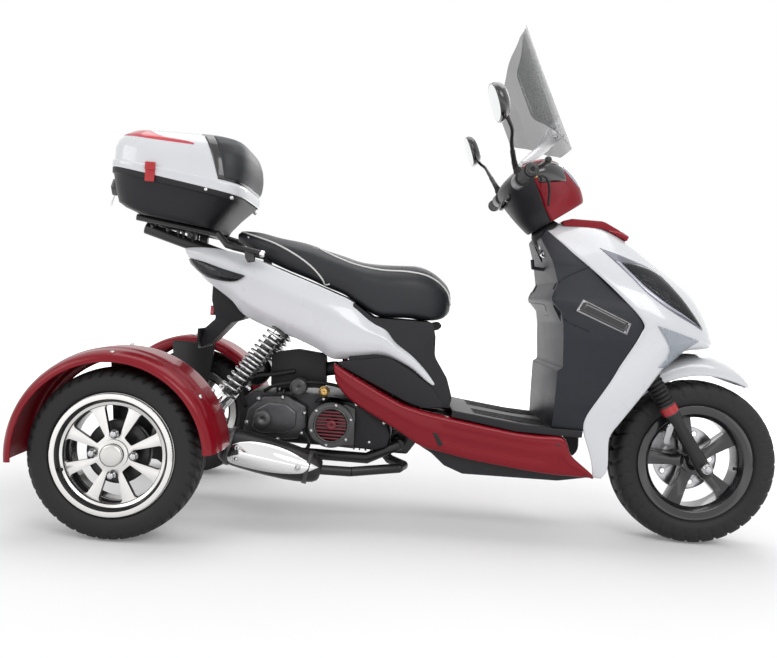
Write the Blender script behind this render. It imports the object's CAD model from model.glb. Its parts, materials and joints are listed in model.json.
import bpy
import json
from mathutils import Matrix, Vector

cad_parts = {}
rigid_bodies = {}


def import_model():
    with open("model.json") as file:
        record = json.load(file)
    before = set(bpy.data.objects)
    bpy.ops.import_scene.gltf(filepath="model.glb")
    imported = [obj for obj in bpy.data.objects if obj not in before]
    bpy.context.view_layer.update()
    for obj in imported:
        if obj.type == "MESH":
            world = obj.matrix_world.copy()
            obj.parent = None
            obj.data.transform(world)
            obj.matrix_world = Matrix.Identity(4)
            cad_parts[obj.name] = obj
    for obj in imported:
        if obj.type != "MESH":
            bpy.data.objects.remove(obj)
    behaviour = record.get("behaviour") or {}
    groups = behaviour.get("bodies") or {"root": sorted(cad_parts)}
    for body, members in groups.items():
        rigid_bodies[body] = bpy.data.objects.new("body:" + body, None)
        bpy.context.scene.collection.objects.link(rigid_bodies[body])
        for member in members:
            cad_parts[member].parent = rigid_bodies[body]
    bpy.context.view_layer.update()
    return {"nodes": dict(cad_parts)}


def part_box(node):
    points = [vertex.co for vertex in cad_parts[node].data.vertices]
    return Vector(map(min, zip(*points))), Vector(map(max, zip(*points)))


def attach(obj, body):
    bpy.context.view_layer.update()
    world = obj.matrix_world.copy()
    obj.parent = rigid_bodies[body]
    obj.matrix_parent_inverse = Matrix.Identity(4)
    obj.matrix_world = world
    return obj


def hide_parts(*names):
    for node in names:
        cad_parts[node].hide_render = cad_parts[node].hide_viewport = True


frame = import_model()

import json
import math
import bmesh
import bpy
from mathutils import Matrix, Vector

nodes = frame["nodes"]

# Places are written in millimetres from the rear axle, forward, left and up, as in the part's source.
rearLow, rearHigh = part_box("rear_tyre_right")
rearAxleX = (rearLow.x + rearHigh.x) / 2
stance = {"wheelbase": 1540, "halfTrack": 390, "rearRadius": 208, "frontRadius": 235, "rake": 35, "offset": 30}


def at(x, y, z):
    return Vector((rearAxleX + x / 1000, y / 1000, z / 1000))


def steer(ahead, aside, up):
    # a point of the steering frame, whose third number runs up the steering line
    c, s = math.cos(math.radians(stance["rake"])), math.sin(math.radians(stance["rake"]))
    x = stance["wheelbase"] - stance["offset"] * c + ahead * c - up * s
    z = stance["frontRadius"] - stance["offset"] * s + ahead * s + up * c
    return at(x, aside, z)


def nose(x, y, z):
    # a point given from the front axle
    return at(stance["wheelbase"] + x, y, stance["frontRadius"] + z)


# Mesh tools

def newObject(name, verts, faces, body, finish, smooth=True):
    mesh = bpy.data.meshes.new(name)
    mesh.from_pydata([tuple(v) for v in verts], [], faces)
    mesh.update()
    bm = bmesh.new()
    bm.from_mesh(mesh)
    bmesh.ops.remove_doubles(bm, verts=bm.verts, dist=1e-6)
    bmesh.ops.dissolve_degenerate(bm, edges=bm.edges, dist=1e-6)
    bmesh.ops.recalc_face_normals(bm, faces=bm.faces)
    bm.to_mesh(mesh)
    bm.free()
    if smooth:
        mesh.shade_smooth()
    obj = bpy.data.objects.new(name, mesh)
    bpy.context.scene.collection.objects.link(obj)
    if finish:
        mesh.materials.append(finish)
    if body:
        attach(obj, body)
    return obj


def modify(obj, kind, **values):
    m = obj.modifiers.new(kind.lower(), kind)
    for key, value in values.items():
        setattr(m, key, value)
    return m


def applied(obj):
    # the mesh with its modifiers applied
    graph = bpy.context.evaluated_depsgraph_get()
    mesh = bpy.data.meshes.new_from_object(obj.evaluated_get(graph))
    obj.modifiers.clear()
    obj.data = mesh
    return obj


def softEdges(obj, width=1.5, segments=2, angle=35):
    modify(obj, "BEVEL", width=width / 1000, segments=segments, limit_method="ANGLE",
           angle_limit=math.radians(angle), harden_normals=False)
    return obj


def smoothLine(points, count):
    # evenly spaced points of a Catmull-Rom line through the given ones
    pts = [Vector(p) for p in points]
    pts = [2 * pts[0] - pts[1]] + pts + [2 * pts[-1] - pts[-2]]
    fine = []
    for i in range(1, len(pts) - 2):
        a, b, c, d = pts[i - 1:i + 3]
        for k in range(12):
            t = k / 12
            fine.append(0.5 * (2 * b + (c - a) * t + (2 * a - 5 * b + 4 * c - d) * t * t
                               + (3 * b - a - 3 * c + d) * t * t * t))
    fine.append(pts[-2])
    lengths = [0]
    for p, q in zip(fine, fine[1:]):
        lengths.append(lengths[-1] + (q - p).length)
    result = []
    j = 0
    for i in range(count):
        goal = lengths[-1] * i / (count - 1)
        while j < len(fine) - 2 and lengths[j + 1] < goal:
            j += 1
        span = max(lengths[j + 1] - lengths[j], 1e-9)
        result.append(fine[j].lerp(fine[j + 1], min(max((goal - lengths[j]) / span, 0), 1)))
    return result


def gridFaces(rows, columns, closeRows=False, closeColumns=False):
    faces = []
    for i in range(rows - (0 if closeRows else 1)):
        for j in range(columns - (0 if closeColumns else 1)):
            a, b = i * columns + j, i * columns + (j + 1) % columns
            c = ((i + 1) % rows) * columns + (j + 1) % columns
            d = ((i + 1) % rows) * columns + j
            faces.append((a, b, c, d))
    return faces


def skin(name, rows, body, finish, closeColumns=False, closeRows=False, caps=False, thick=0.0):
    # a sheet over rows of points, each row as long as the first
    count = len(rows[0])
    verts = [p for row in rows for p in row]
    faces = gridFaces(len(rows), count, closeRows, closeColumns)
    if caps:
        faces.append(tuple(range(count)))
        faces.append(tuple(range(len(verts) - count, len(verts))))
    obj = newObject(name, verts, faces, body, finish)
    if thick:
        modify(obj, "SOLIDIFY", thickness=thick / 1000, offset=-1)
    return obj


def turned(name, section, centre, body, finish, steps=96, closed=True, start=0.0, sweep=360.0):
    # a turned form about an axle from left to right, whose section points are (along the axle, radius)
    whole = sweep >= 360
    rows = []
    for i in range(steps if whole else steps + 1):
        angle = math.radians(start + sweep * i / steps)
        row = []
        for along, radius in section:
            row.append(centre + Vector((radius * math.cos(angle), along, radius * math.sin(angle))) / 1000)
        rows.append(row)
    return skin(name, rows, body, finish, closeColumns=closed, closeRows=whole)


def tube(name, points, radius, body, finish, sides=12, smooth=True, count=0):
    # a round bar along points in metres, with one radius or a list of them from end to end
    line = smoothLine(points, count or len(points) * 6) if smooth else [Vector(p) for p in points]
    rows = []
    side = None
    for i, p in enumerate(line):
        run = (line[min(i + 1, len(line) - 1)] - line[max(i - 1, 0)]).normalized()
        if side is None:
            side = run.orthogonal().normalized()
        side = (side - run * side.dot(run)).normalized()
        other = run.cross(side)
        r = radius[min(i * len(radius) // len(line), len(radius) - 1)] if isinstance(radius, list) else radius
        rows.append([p + (side * math.cos(2 * math.pi * k / sides) + other * math.sin(2 * math.pi * k / sides))
                     * r / 1000 for k in range(sides)])
    return skin(name, rows, body, finish, closeColumns=True, caps=True)


def joined(name, objs):
    # several objects of one body as one piece
    first = objs[0]
    graph = bpy.context.evaluated_depsgraph_get()
    bm = bmesh.new()
    finishes = []
    for o in objs:
        mesh = bpy.data.meshes.new_from_object(o.evaluated_get(graph))
        material = o.data.materials[0] if o.data.materials else None
        if material not in finishes:
            finishes.append(material)
        for polygon in mesh.polygons:
            polygon.material_index = finishes.index(material)
        bm.from_mesh(mesh)
    mesh = bpy.data.meshes.new(name)
    bm.to_mesh(mesh)
    bm.free()
    for material in finishes:
        mesh.materials.append(material)
    parent = first.parent
    for o in objs:
        bpy.data.objects.remove(o)
    obj = bpy.data.objects.new(name, mesh)
    bpy.context.scene.collection.objects.link(obj)
    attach(obj, parent.name.replace("body:", ""))
    return obj


def drop(*objs):
    for o in objs:
        bpy.data.objects.remove(o)


def mirrorCopy(obj, name):
    # the same piece on the other side
    mesh = bpy.data.meshes.new_from_object(obj.evaluated_get(bpy.context.evaluated_depsgraph_get()))
    mesh.transform(Matrix.Scale(-1, 4, (0, 1, 0)))
    mesh.flip_normals()
    copy = bpy.data.objects.new(name, mesh)
    bpy.context.scene.collection.objects.link(copy)
    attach(copy, obj.parent.name.replace("body:", ""))
    return copy


def hexBolt(name, centre, direction, radius, height, body, finish, sides=6):
    # a bolt head on its washer, hexagonal with six sides and round with any other number
    run = Vector(direction).normalized()
    side = run.orthogonal().normalized()
    other = run.cross(side)
    rows = []
    for along, r in ((0, 1.35), (height * 0.25, 1.35), (height * 0.3, 1.0), (height * 0.85, 1.0), (height, 0.8)):
        n = 24
        row = []
        for k in range(n):
            angle = 2 * math.pi * k / n
            shape = 1.0
            if along > height * 0.27 and sides == 6:
                local = (angle % (math.pi / 3)) - math.pi / 6
                shape = math.cos(math.pi / 6) / math.cos(local)
            row.append(centre + run * along / 1000
                       + (side * math.cos(angle) + other * math.sin(angle)) * radius * r * shape / 1000)
        rows.append(row)
    return skin(name, rows, body, finish, closeColumns=True, caps=True)


print("tools ready")

# Shader groups, each an effect that several finishes share

def newGroup(name, inputs, outputs):
    group = bpy.data.node_groups.new(name, "ShaderNodeTree")
    for label, kind, value in inputs:
        socket = group.interface.new_socket(name=label, in_out="INPUT", socket_type=kind)
        if value is not None:
            socket.default_value = value
    for label, kind in outputs:
        group.interface.new_socket(name=label, in_out="OUTPUT", socket_type=kind)
    return group, group.nodes.new("NodeGroupInput"), group.nodes.new("NodeGroupOutput")


def link(tree, a, b):
    tree.links.new(a, b)


def mathOf(tree, a, b, kind="MULTIPLY"):
    # the output of a math node over two outputs
    node = tree.nodes.new("ShaderNodeMath")
    node.operation = kind
    link(tree, a, node.inputs[0])
    link(tree, b, node.inputs[1])
    return node.outputs[0]


def makeGrainGroup():
    # fine moulded grain as a normal, with a slow change of tone as a mask
    group, gin, gout = newGroup("mouldedGrain", [
        ("Scale", "NodeSocketFloat", 900.0), ("Depth", "NodeSocketFloat", 0.2),
        ("Tone Scale", "NodeSocketFloat", 7.0)],
        [("Normal", "NodeSocketVector"), ("Tone", "NodeSocketFloat")])
    place = group.nodes.new("ShaderNodeTexCoord")
    cells = group.nodes.new("ShaderNodeTexVoronoi")
    noise = group.nodes.new("ShaderNodeTexNoise")
    slow = group.nodes.new("ShaderNodeTexNoise")
    add = group.nodes.new("ShaderNodeMath")
    bump = group.nodes.new("ShaderNodeBump")
    noise.inputs["Detail"].default_value = 3
    slow.inputs["Detail"].default_value = 4
    bump.inputs["Distance"].default_value = 0.0004
    add.operation = "ADD"
    for n in (cells, noise, slow):
        link(group, place.outputs["Object"], n.inputs["Vector"])
    link(group, gin.outputs["Scale"], cells.inputs["Scale"])
    link(group, gin.outputs["Scale"], noise.inputs["Scale"])
    link(group, gin.outputs["Tone Scale"], slow.inputs["Scale"])
    link(group, cells.outputs["Distance"], add.inputs[0])
    link(group, noise.outputs["Fac"], add.inputs[1])
    link(group, add.outputs[0], bump.inputs["Height"])
    link(group, gin.outputs["Depth"], bump.inputs["Strength"])
    link(group, bump.outputs["Normal"], gout.inputs["Normal"])
    link(group, slow.outputs["Fac"], gout.inputs["Tone"])
    return group


def makeWearGroup():
    # worn edges and dust that gathers on what faces up
    group, gin, gout = newGroup("wearAndDust", [
        ("Edge", "NodeSocketFloat", 0.5), ("Dust", "NodeSocketFloat", 0.2), ("Scale", "NodeSocketFloat", 40.0)],
        [("Worn", "NodeSocketFloat"), ("Dusty", "NodeSocketFloat")])
    place = group.nodes.new("ShaderNodeTexCoord")
    form = group.nodes.new("ShaderNodeNewGeometry")
    noise = group.nodes.new("ShaderNodeTexNoise")
    noise.inputs["Detail"].default_value = 6
    link(group, place.outputs["Object"], noise.inputs["Vector"])
    link(group, gin.outputs["Scale"], noise.inputs["Scale"])
    sharp = group.nodes.new("ShaderNodeMapRange")
    sharp.inputs["From Min"].default_value = 0.53
    sharp.inputs["From Max"].default_value = 0.62
    link(group, form.outputs["Pointiness"], sharp.inputs["Value"])
    worn = mathOf(group, mathOf(group, sharp.outputs[0], noise.outputs["Fac"]), gin.outputs["Edge"])
    split = group.nodes.new("ShaderNodeSeparateXYZ")
    link(group, form.outputs["Normal"], split.inputs[0])
    up = group.nodes.new("ShaderNodeMapRange")
    up.inputs["From Min"].default_value = 0.2
    up.inputs["From Max"].default_value = 1.0
    link(group, split.outputs["Z"], up.inputs["Value"])
    dusty = mathOf(group, mathOf(group, up.outputs[0], noise.outputs["Fac"]), gin.outputs["Dust"])
    link(group, worn, gout.inputs["Worn"])
    link(group, dusty, gout.inputs["Dusty"])
    return group


def makeFlakeGroup():
    # metal flake under a clear coat, as small tilts of the base colour
    group, gin, gout = newGroup("paintFlake", [
        ("Dark", "NodeSocketColor", (0.2, 0, 0.01, 1)), ("Light", "NodeSocketColor", (0.6, 0.02, 0.04, 1)),
        ("Scale", "NodeSocketFloat", 2600.0)], [("Color", "NodeSocketColor")])
    place = group.nodes.new("ShaderNodeTexCoord")
    cells = group.nodes.new("ShaderNodeTexVoronoi")
    slow = group.nodes.new("ShaderNodeTexNoise")
    slow.inputs["Scale"].default_value = 3
    mix = group.nodes.new("ShaderNodeMix")
    mix.data_type = "RGBA"
    tone = group.nodes.new("ShaderNodeMath")
    tone.operation = "MULTIPLY_ADD"
    tone.inputs[1].default_value = 0.65
    split = group.nodes.new("ShaderNodeSeparateColor")
    link(group, place.outputs["Object"], cells.inputs["Vector"])
    link(group, place.outputs["Object"], slow.inputs["Vector"])
    link(group, gin.outputs["Scale"], cells.inputs["Scale"])
    link(group, cells.outputs["Color"], split.inputs[0])
    shift = group.nodes.new("ShaderNodeMath")
    shift.operation = "MULTIPLY"
    shift.inputs[1].default_value = 0.35
    link(group, slow.outputs["Fac"], shift.inputs[0])
    link(group, split.outputs[0], tone.inputs[0])
    link(group, shift.outputs[0], tone.inputs[2])
    link(group, tone.outputs[0], mix.inputs["Factor"])
    link(group, gin.outputs["Dark"], mix.inputs["A"])
    link(group, gin.outputs["Light"], mix.inputs["B"])
    link(group, mix.outputs["Result"], gout.inputs["Color"])
    return group


grainGroup = makeGrainGroup()
wearGroup = makeWearGroup()
flakeGroup = makeFlakeGroup()


def newFinish(name, values):
    # one material: base colour with tone, wear and dust, and a grain normal
    material = bpy.data.materials.new(name)
    material.use_nodes = True
    tree = material.node_tree
    shader = tree.nodes["Principled BSDF"]
    v = {"colour": (0.5, 0.5, 0.5), "tone": 0.15, "rough": 0.4, "roughVary": 0.08, "metal": 0.0, "coat": 0.0,
         "coatRough": 0.05, "grain": 900.0, "depth": 0.1, "edge": 0.3, "edgeColour": None, "dust": 0.15,
         "dustColour": (0.45, 0.42, 0.38), "specular": 0.5, "sheen": 0.0, "flake": None}
    v.update(values)
    shader.inputs["Coat Weight"].default_value = v["coat"]
    shader.inputs["Coat Roughness"].default_value = v["coatRough"]
    shader.inputs["Specular IOR Level"].default_value = v["specular"]
    shader.inputs["Sheen Weight"].default_value = v["sheen"]
    shader.inputs["Metallic"].default_value = v["metal"]
    grain = tree.nodes.new("ShaderNodeGroup")
    grain.node_tree = grainGroup
    grain.inputs["Scale"].default_value = v["grain"]
    grain.inputs["Depth"].default_value = v["depth"]
    wear = tree.nodes.new("ShaderNodeGroup")
    wear.node_tree = wearGroup
    wear.inputs["Edge"].default_value = v["edge"]
    wear.inputs["Dust"].default_value = v["dust"]
    base = tree.nodes.new("ShaderNodeMix")
    base.data_type = "RGBA"
    c = v["colour"]
    base.inputs["A"].default_value = tuple(x * (1 - v["tone"]) for x in c) + (1,)
    base.inputs["B"].default_value = tuple(min(x * (1 + v["tone"]), 1) for x in c) + (1,)
    link(tree, grain.outputs["Tone"], base.inputs["Factor"])
    colour = base.outputs["Result"]
    if v["flake"]:
        flake = tree.nodes.new("ShaderNodeGroup")
        flake.node_tree = flakeGroup
        flake.inputs["Dark"].default_value = tuple(v["flake"][0]) + (1,)
        flake.inputs["Light"].default_value = tuple(v["flake"][1]) + (1,)
        colour = flake.outputs["Color"]
    edge = v["edgeColour"] or tuple(min(x * 1.5 + 0.03, 1) for x in c)
    for label, tint in (("Worn", edge), ("Dusty", v["dustColour"])):
        mix = tree.nodes.new("ShaderNodeMix")
        mix.data_type = "RGBA"
        link(tree, wear.outputs[label], mix.inputs["Factor"])
        link(tree, colour, mix.inputs["A"])
        mix.inputs["B"].default_value = tuple(tint) + (1,)
        colour = mix.outputs["Result"]
    link(tree, colour, shader.inputs["Base Color"])
    span = tree.nodes.new("ShaderNodeMapRange")
    span.inputs["To Min"].default_value = max(v["rough"] - v["roughVary"], 0.02)
    span.inputs["To Max"].default_value = min(v["rough"] + v["roughVary"], 1)
    link(tree, grain.outputs["Tone"], span.inputs["Value"])
    link(tree, span.outputs[0], shader.inputs["Roughness"])
    link(tree, grain.outputs["Normal"], shader.inputs["Normal"])
    return material


finishValues = {
    "redPaint": {"colour": (0.21, 0.001, 0.008), "flake": ((0.14, 0.0005, 0.005), (0.31, 0.002, 0.013)),
                 "rough": 0.32, "metal": 0.1, "coat": 0.30, "coatRough": 0.04, "depth": 0.015, "edge": 0.0,
                 "dust": 0.0, "specular": 0.16},
    "whitePaint": {"colour": (0.69, 0.70, 0.73), "tone": 0.025, "rough": 0.28, "coat": 0.9, "coatRough": 0.05,
                   "depth": 0.012, "edge": 0.1, "dust": 0.02},
    "blackPlastic": {"colour": (0.009, 0.009, 0.011), "rough": 0.46, "grain": 1100.0, "depth": 0.35, "dust": 0.015,
                     "edge": 0.25, "specular": 0.32},
    "blackGloss": {"colour": (0.010, 0.010, 0.012), "rough": 0.18, "coat": 0.6, "depth": 0.02, "dust": 0.04},
    "navyPlastic": {"colour": (0.010, 0.011, 0.017), "rough": 0.44, "grain": 1400.0, "depth": 0.25, "dust": 0.01,
                    "edge": 0.2, "specular": 0.32},
    "tyreRubber": {"colour": (0.011, 0.011, 0.012), "rough": 0.62, "grain": 700.0, "depth": 0.35, "dust": 0.03,
                   "edge": 0.35, "specular": 0.4},
    "softRubber": {"colour": (0.010, 0.010, 0.011), "rough": 0.58, "grain": 1200.0, "depth": 0.2, "dust": 0.03,
                   "specular": 0.35},
    "vinyl": {"colour": (0.013, 0.014, 0.018), "rough": 0.44, "grain": 650.0, "depth": 0.45, "dust": 0.01,
              "edge": 0.1, "specular": 0.42},
    "piping": {"colour": (0.72, 0.72, 0.70), "rough": 0.5, "depth": 0.1, "dust": 0.05},
    "blackMetal": {"colour": (0.010, 0.010, 0.011), "rough": 0.34, "metal": 0.2, "depth": 0.06, "dust": 0.03,
                   "edge": 0.5, "edgeColour": (0.3, 0.3, 0.3)},
    "engineMetal": {"colour": (0.050, 0.050, 0.054), "rough": 0.44, "metal": 0.7, "grain": 500.0, "depth": 0.5,
                    "dust": 0.06, "edge": 0.8, "edgeColour": (0.3, 0.3, 0.3)},
    "castMetal": {"colour": (0.36, 0.36, 0.37), "rough": 0.42, "metal": 0.9, "grain": 420.0, "depth": 0.4,
                  "dust": 0.1, "edge": 0.6},
    "chrome": {"colour": (0.80, 0.80, 0.80), "tone": 0.04, "rough": 0.07, "roughVary": 0.04, "metal": 1.0,
               "depth": 0.01, "dust": 0.02, "edge": 0.05},
    "steel": {"colour": (0.55, 0.55, 0.56), "rough": 0.28, "metal": 1.0, "depth": 0.06, "dust": 0.06, "edge": 0.2},
    "brass": {"colour": (0.50, 0.33, 0.12), "rough": 0.36, "metal": 0.9, "depth": 0.1},
    "redPlastic": {"colour": (0.42, 0.008, 0.014), "rough": 0.3, "depth": 0.05, "coat": 0.3},
    "lampTrim": {"colour": (0.40, 0.40, 0.47), "rough": 0.26, "metal": 0.5, "coat": 0.6, "depth": 0.02,
                 "dust": 0.02},
    "lampShade": {"colour": (0.13, 0.13, 0.17), "rough": 0.2, "metal": 0.2, "coat": 0.8, "depth": 0.02,
                  "dust": 0.0},
    "redBand": {"colour": (0.55, 0.03, 0.05), "tone": 0.3, "rough": 0.18, "coat": 0.8, "grain": 260.0, "depth": 0.2,
                "dust": 0.02},
    "grilleRed": {"colour": (0.14, 0.006, 0.014), "rough": 0.42, "depth": 0.1},
    "lampInside": {"colour": (0.62, 0.62, 0.70), "rough": 0.16, "metal": 0.8, "depth": 0.02, "dust": 0.0},
    "mirrorGlass": {"colour": (0.86, 0.87, 0.88), "tone": 0.01, "rough": 0.03, "roughVary": 0.01, "metal": 1.0,
                    "depth": 0.0, "dust": 0.0, "edge": 0.0},
}
finishes = {name: newFinish(name, values) for name, values in finishValues.items()}


def newGlass(name, colour, rough, alpha, tint):
    # clear or tinted plastic as a thin sheet with light haze
    material = bpy.data.materials.new(name)
    material.use_nodes = True
    tree = material.node_tree
    shader = tree.nodes["Principled BSDF"]
    shader.inputs["Transmission Weight"].default_value = 0.0
    shader.inputs["Alpha"].default_value = alpha
    shader.inputs["IOR"].default_value = 1.45
    grain = tree.nodes.new("ShaderNodeGroup")
    grain.node_tree = grainGroup
    grain.inputs["Scale"].default_value = 60.0
    grain.inputs["Depth"].default_value = 0.01
    mix = tree.nodes.new("ShaderNodeMix")
    mix.data_type = "RGBA"
    mix.inputs["A"].default_value = tuple(x * (1 - tint) for x in colour) + (1,)
    mix.inputs["B"].default_value = tuple(colour) + (1,)
    link(tree, grain.outputs["Tone"], mix.inputs["Factor"])
    link(tree, mix.outputs["Result"], shader.inputs["Base Color"])
    span = tree.nodes.new("ShaderNodeMapRange")
    span.inputs["To Min"].default_value = rough * 0.6
    span.inputs["To Max"].default_value = rough * 1.4
    link(tree, grain.outputs["Tone"], span.inputs["Value"])
    link(tree, span.outputs[0], shader.inputs["Roughness"])
    link(tree, grain.outputs["Normal"], shader.inputs["Normal"])
    return material


# Colour, roughness, how much covers what lies behind, and change of tone
glassValues = {"smokedScreen": ((0.045, 0.048, 0.052), 0.06, 0.44, 0.2),
               "clearLens": ((0.45, 0.50, 0.54), 0.06, 0.42, 0.1),
               "darkLens": ((0.016, 0.017, 0.022), 0.05, 0.62, 0.2)}
for name, values in glassValues.items():
    finishes[name] = newGlass(name, *values)


def newRimFinish(name, machined, pocket, axisPlace):
    # faces that look along the axle are machined in fine rings, the rest is painted
    material = bpy.data.materials.new(name)
    material.use_nodes = True
    tree = material.node_tree
    shader = tree.nodes["Principled BSDF"]
    form = tree.nodes.new("ShaderNodeNewGeometry")
    split = tree.nodes.new("ShaderNodeSeparateXYZ")
    link(tree, form.outputs["True Normal"], split.inputs[0])
    away = tree.nodes.new("ShaderNodeMath")
    away.operation = "ABSOLUTE"
    link(tree, split.outputs["Y"], away.inputs[0])
    face = tree.nodes.new("ShaderNodeMapRange")
    face.inputs["From Min"].default_value = 0.80
    face.inputs["From Max"].default_value = 0.90
    link(tree, away.outputs[0], face.inputs["Value"])
    place = tree.nodes.new("ShaderNodeTexCoord")
    shift = tree.nodes.new("ShaderNodeMapping")
    shift.inputs["Location"].default_value = tuple(-x for x in axisPlace)
    link(tree, place.outputs["Object"], shift.inputs["Vector"])
    flat = tree.nodes.new("ShaderNodeVectorMath")
    flat.operation = "MULTIPLY"
    flat.inputs[1].default_value = (1, 0, 1)
    link(tree, shift.outputs[0], flat.inputs[0])
    reach = tree.nodes.new("ShaderNodeVectorMath")
    reach.operation = "LENGTH"
    link(tree, flat.outputs[0], reach.inputs[0])
    rings = tree.nodes.new("ShaderNodeTexNoise")
    rings.noise_dimensions = "1D"
    rings.inputs["Scale"].default_value = 1500
    rings.inputs["Detail"].default_value = 2
    link(tree, reach.outputs["Value"], rings.inputs["W"])
    bump = tree.nodes.new("ShaderNodeBump")
    bump.inputs["Distance"].default_value = 0.0002
    bump.inputs["Strength"].default_value = 0.25
    link(tree, rings.outputs["Fac"], bump.inputs["Height"])
    link(tree, bump.outputs["Normal"], shader.inputs["Normal"])
    mix = tree.nodes.new("ShaderNodeMix")
    mix.data_type = "RGBA"
    mix.inputs["A"].default_value = tuple(pocket) + (1,)
    mix.inputs["B"].default_value = tuple(machined) + (1,)
    link(tree, face.outputs[0], mix.inputs["Factor"])
    link(tree, mix.outputs["Result"], shader.inputs["Base Color"])
    link(tree, face.outputs[0], shader.inputs["Metallic"])
    span = tree.nodes.new("ShaderNodeMapRange")
    span.inputs["To Min"].default_value = 0.26
    span.inputs["To Max"].default_value = 0.36
    link(tree, rings.outputs["Fac"], span.inputs["Value"])
    link(tree, span.outputs[0], shader.inputs["Roughness"])
    return material


finishes["alloyRim"] = newRimFinish("alloyRim", (0.74, 0.73, 0.71), (0.012, 0.012, 0.013), at(0, 0, 208))
print("finishes ready")

# What each node of the frame is finished in
nodeFinish = {
    "redPaint": ["side_skirt_left", "side_skirt_right", "rear_fender_left", "rear_fender_right",
                 "handlebar_cover", "nose_trim"],
    "whitePaint": ["front_panel", "front_fender", "side_panel_left", "side_panel_right", "box_lid"],
    "blackPlastic": ["footboard", "belly_pan", "center_cover", "box_base", "tail_bracket", "instrument_cover",
                     "mirror_left", "mirror_right", "air_box"],
    "navyPlastic": ["leg_shield"],
    "tyreRubber": ["front_tyre", "rear_tyre_left", "rear_tyre_right"],
    "softRubber": ["grip_left", "grip_right"],
    "vinyl": ["seat", "backrest"],
    "blackMetal": ["frame", "fork", "fork_leg_left", "fork_leg_right", "rear_rack", "rear_axle", "exhaust",
                   "handlebar"],
    "blackGloss": ["front_rim", "fan_cover"],
    "engineMetal": ["engine", "drive_case"],
    "castMetal": ["brake_caliper"],
    "steel": ["brake_disc", "front_axle", "shock_left", "shock_right", "windshield_bracket"],
    "chrome": ["muffler_shield"],
    "alloyRim": ["rear_rim_left", "rear_rim_right"],
    "smokedScreen": ["windshield"],
    "darkLens": ["headlamp_left", "headlamp_right", "tail_lamp"],
    "clearLens": ["front_indicator_left", "front_indicator_right"],
}
for finishName, names in nodeFinish.items():
    for nodeName in names:
        node = nodes[nodeName]
        node.data.materials.clear()
        node.data.materials.append(finishes[finishName])

# Floor, light and camera
studio = {"floor": (0.86, 0.86, 0.87), "glow": 0.14, "sky": 0.55, "key": 62, "fill": 30, "top": 50}


def seenRay(tree):
    # 1 for what the camera sees, straight, mirrored or through glass
    path = tree.nodes.new("ShaderNodeLightPath")
    direct = mathOf(tree, path.outputs["Is Camera Ray"], path.outputs["Is Transmission Ray"], "MAXIMUM")
    return mathOf(tree, direct, path.outputs["Is Glossy Ray"], "MAXIMUM")


def makeFloor():
    floor = newObject("studioFloor", [(-30, -30, 0), (30, -30, 0), (30, 60, 0), (-30, 60, 0)], [(0, 1, 2, 3)],
                      None, None, smooth=False)
    material = bpy.data.materials.new("paleFloor")
    material.use_nodes = True
    tree = material.node_tree
    shader = tree.nodes["Principled BSDF"]
    shader.inputs["Base Color"].default_value = studio["floor"] + (1,)
    shader.inputs["Roughness"].default_value = 0.9
    shader.inputs["Specular IOR Level"].default_value = 0.1
    place = tree.nodes.new("ShaderNodeTexCoord")
    away = tree.nodes.new("ShaderNodeVectorMath")
    away.operation = "LENGTH"
    link(tree, place.outputs["Object"], away.inputs[0])
    fade = tree.nodes.new("ShaderNodeMapRange")      # the floor turns plain white away from the object
    fade.interpolation_type = "SMOOTHSTEP"
    fade.inputs["From Min"].default_value = 1.2
    fade.inputs["From Max"].default_value = 3.4
    fade.inputs["To Min"].default_value = studio["glow"]
    link(tree, away.outputs["Value"], fade.inputs["Value"])
    shader.inputs["Emission Color"].default_value = (1, 1, 1, 1)
    link(tree, mathOf(tree, seenRay(tree), fade.outputs[0]), shader.inputs["Emission Strength"])
    floor.data.materials.append(material)


def makeWorld():
    world = bpy.data.worlds.new("studioWorld")
    bpy.context.scene.world = world
    world.use_nodes = True
    tree = world.node_tree
    ground = tree.nodes["Background"]
    strength = tree.nodes.new("ShaderNodeMapRange")
    strength.inputs["To Min"].default_value = studio["sky"]
    strength.inputs["To Max"].default_value = 1.0
    link(tree, seenRay(tree), strength.inputs["Value"])
    link(tree, strength.outputs[0], ground.inputs["Strength"])
    ground.inputs["Color"].default_value = (1, 1, 1, 1)


def areaLight(name, place, aim, power, width, height):
    lamp = bpy.data.lights.new(name, "AREA")
    lamp.shape = "RECTANGLE"
    lamp.size, lamp.size_y = width, height
    lamp.energy = power
    obj = bpy.data.objects.new(name, lamp)
    bpy.context.scene.collection.objects.link(obj)
    obj.location = place
    obj.rotation_mode = "QUATERNION"
    obj.rotation_quaternion = (Vector(aim) - Vector(place)).to_track_quat("-Z", "Y")
    return obj


camera = {"place": (632, -2344, 620.5), "lens": 37.28, "right": (0.99675082, 0.00254409, 0.08050667),
          "down": (0.08054686, -0.03148258, -0.99625351), "ahead": (0, 0.99950106, -0.03158521)}


def makeCamera():
    data = bpy.data.cameras.new("photoCamera")
    data.lens = camera["lens"]
    data.sensor_width = 36
    data.clip_start, data.clip_end = 0.05, 200
    obj = bpy.data.objects.new("photoCamera", data)
    bpy.context.scene.collection.objects.link(obj)
    right, down, forward = Vector(camera["right"]), Vector(camera["down"]), Vector(camera["ahead"])
    turn = Matrix((right, -down, -forward)).transposed().to_4x4()
    obj.matrix_world = Matrix.Translation(at(*camera["place"])) @ turn
    bpy.context.scene.camera = obj


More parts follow.
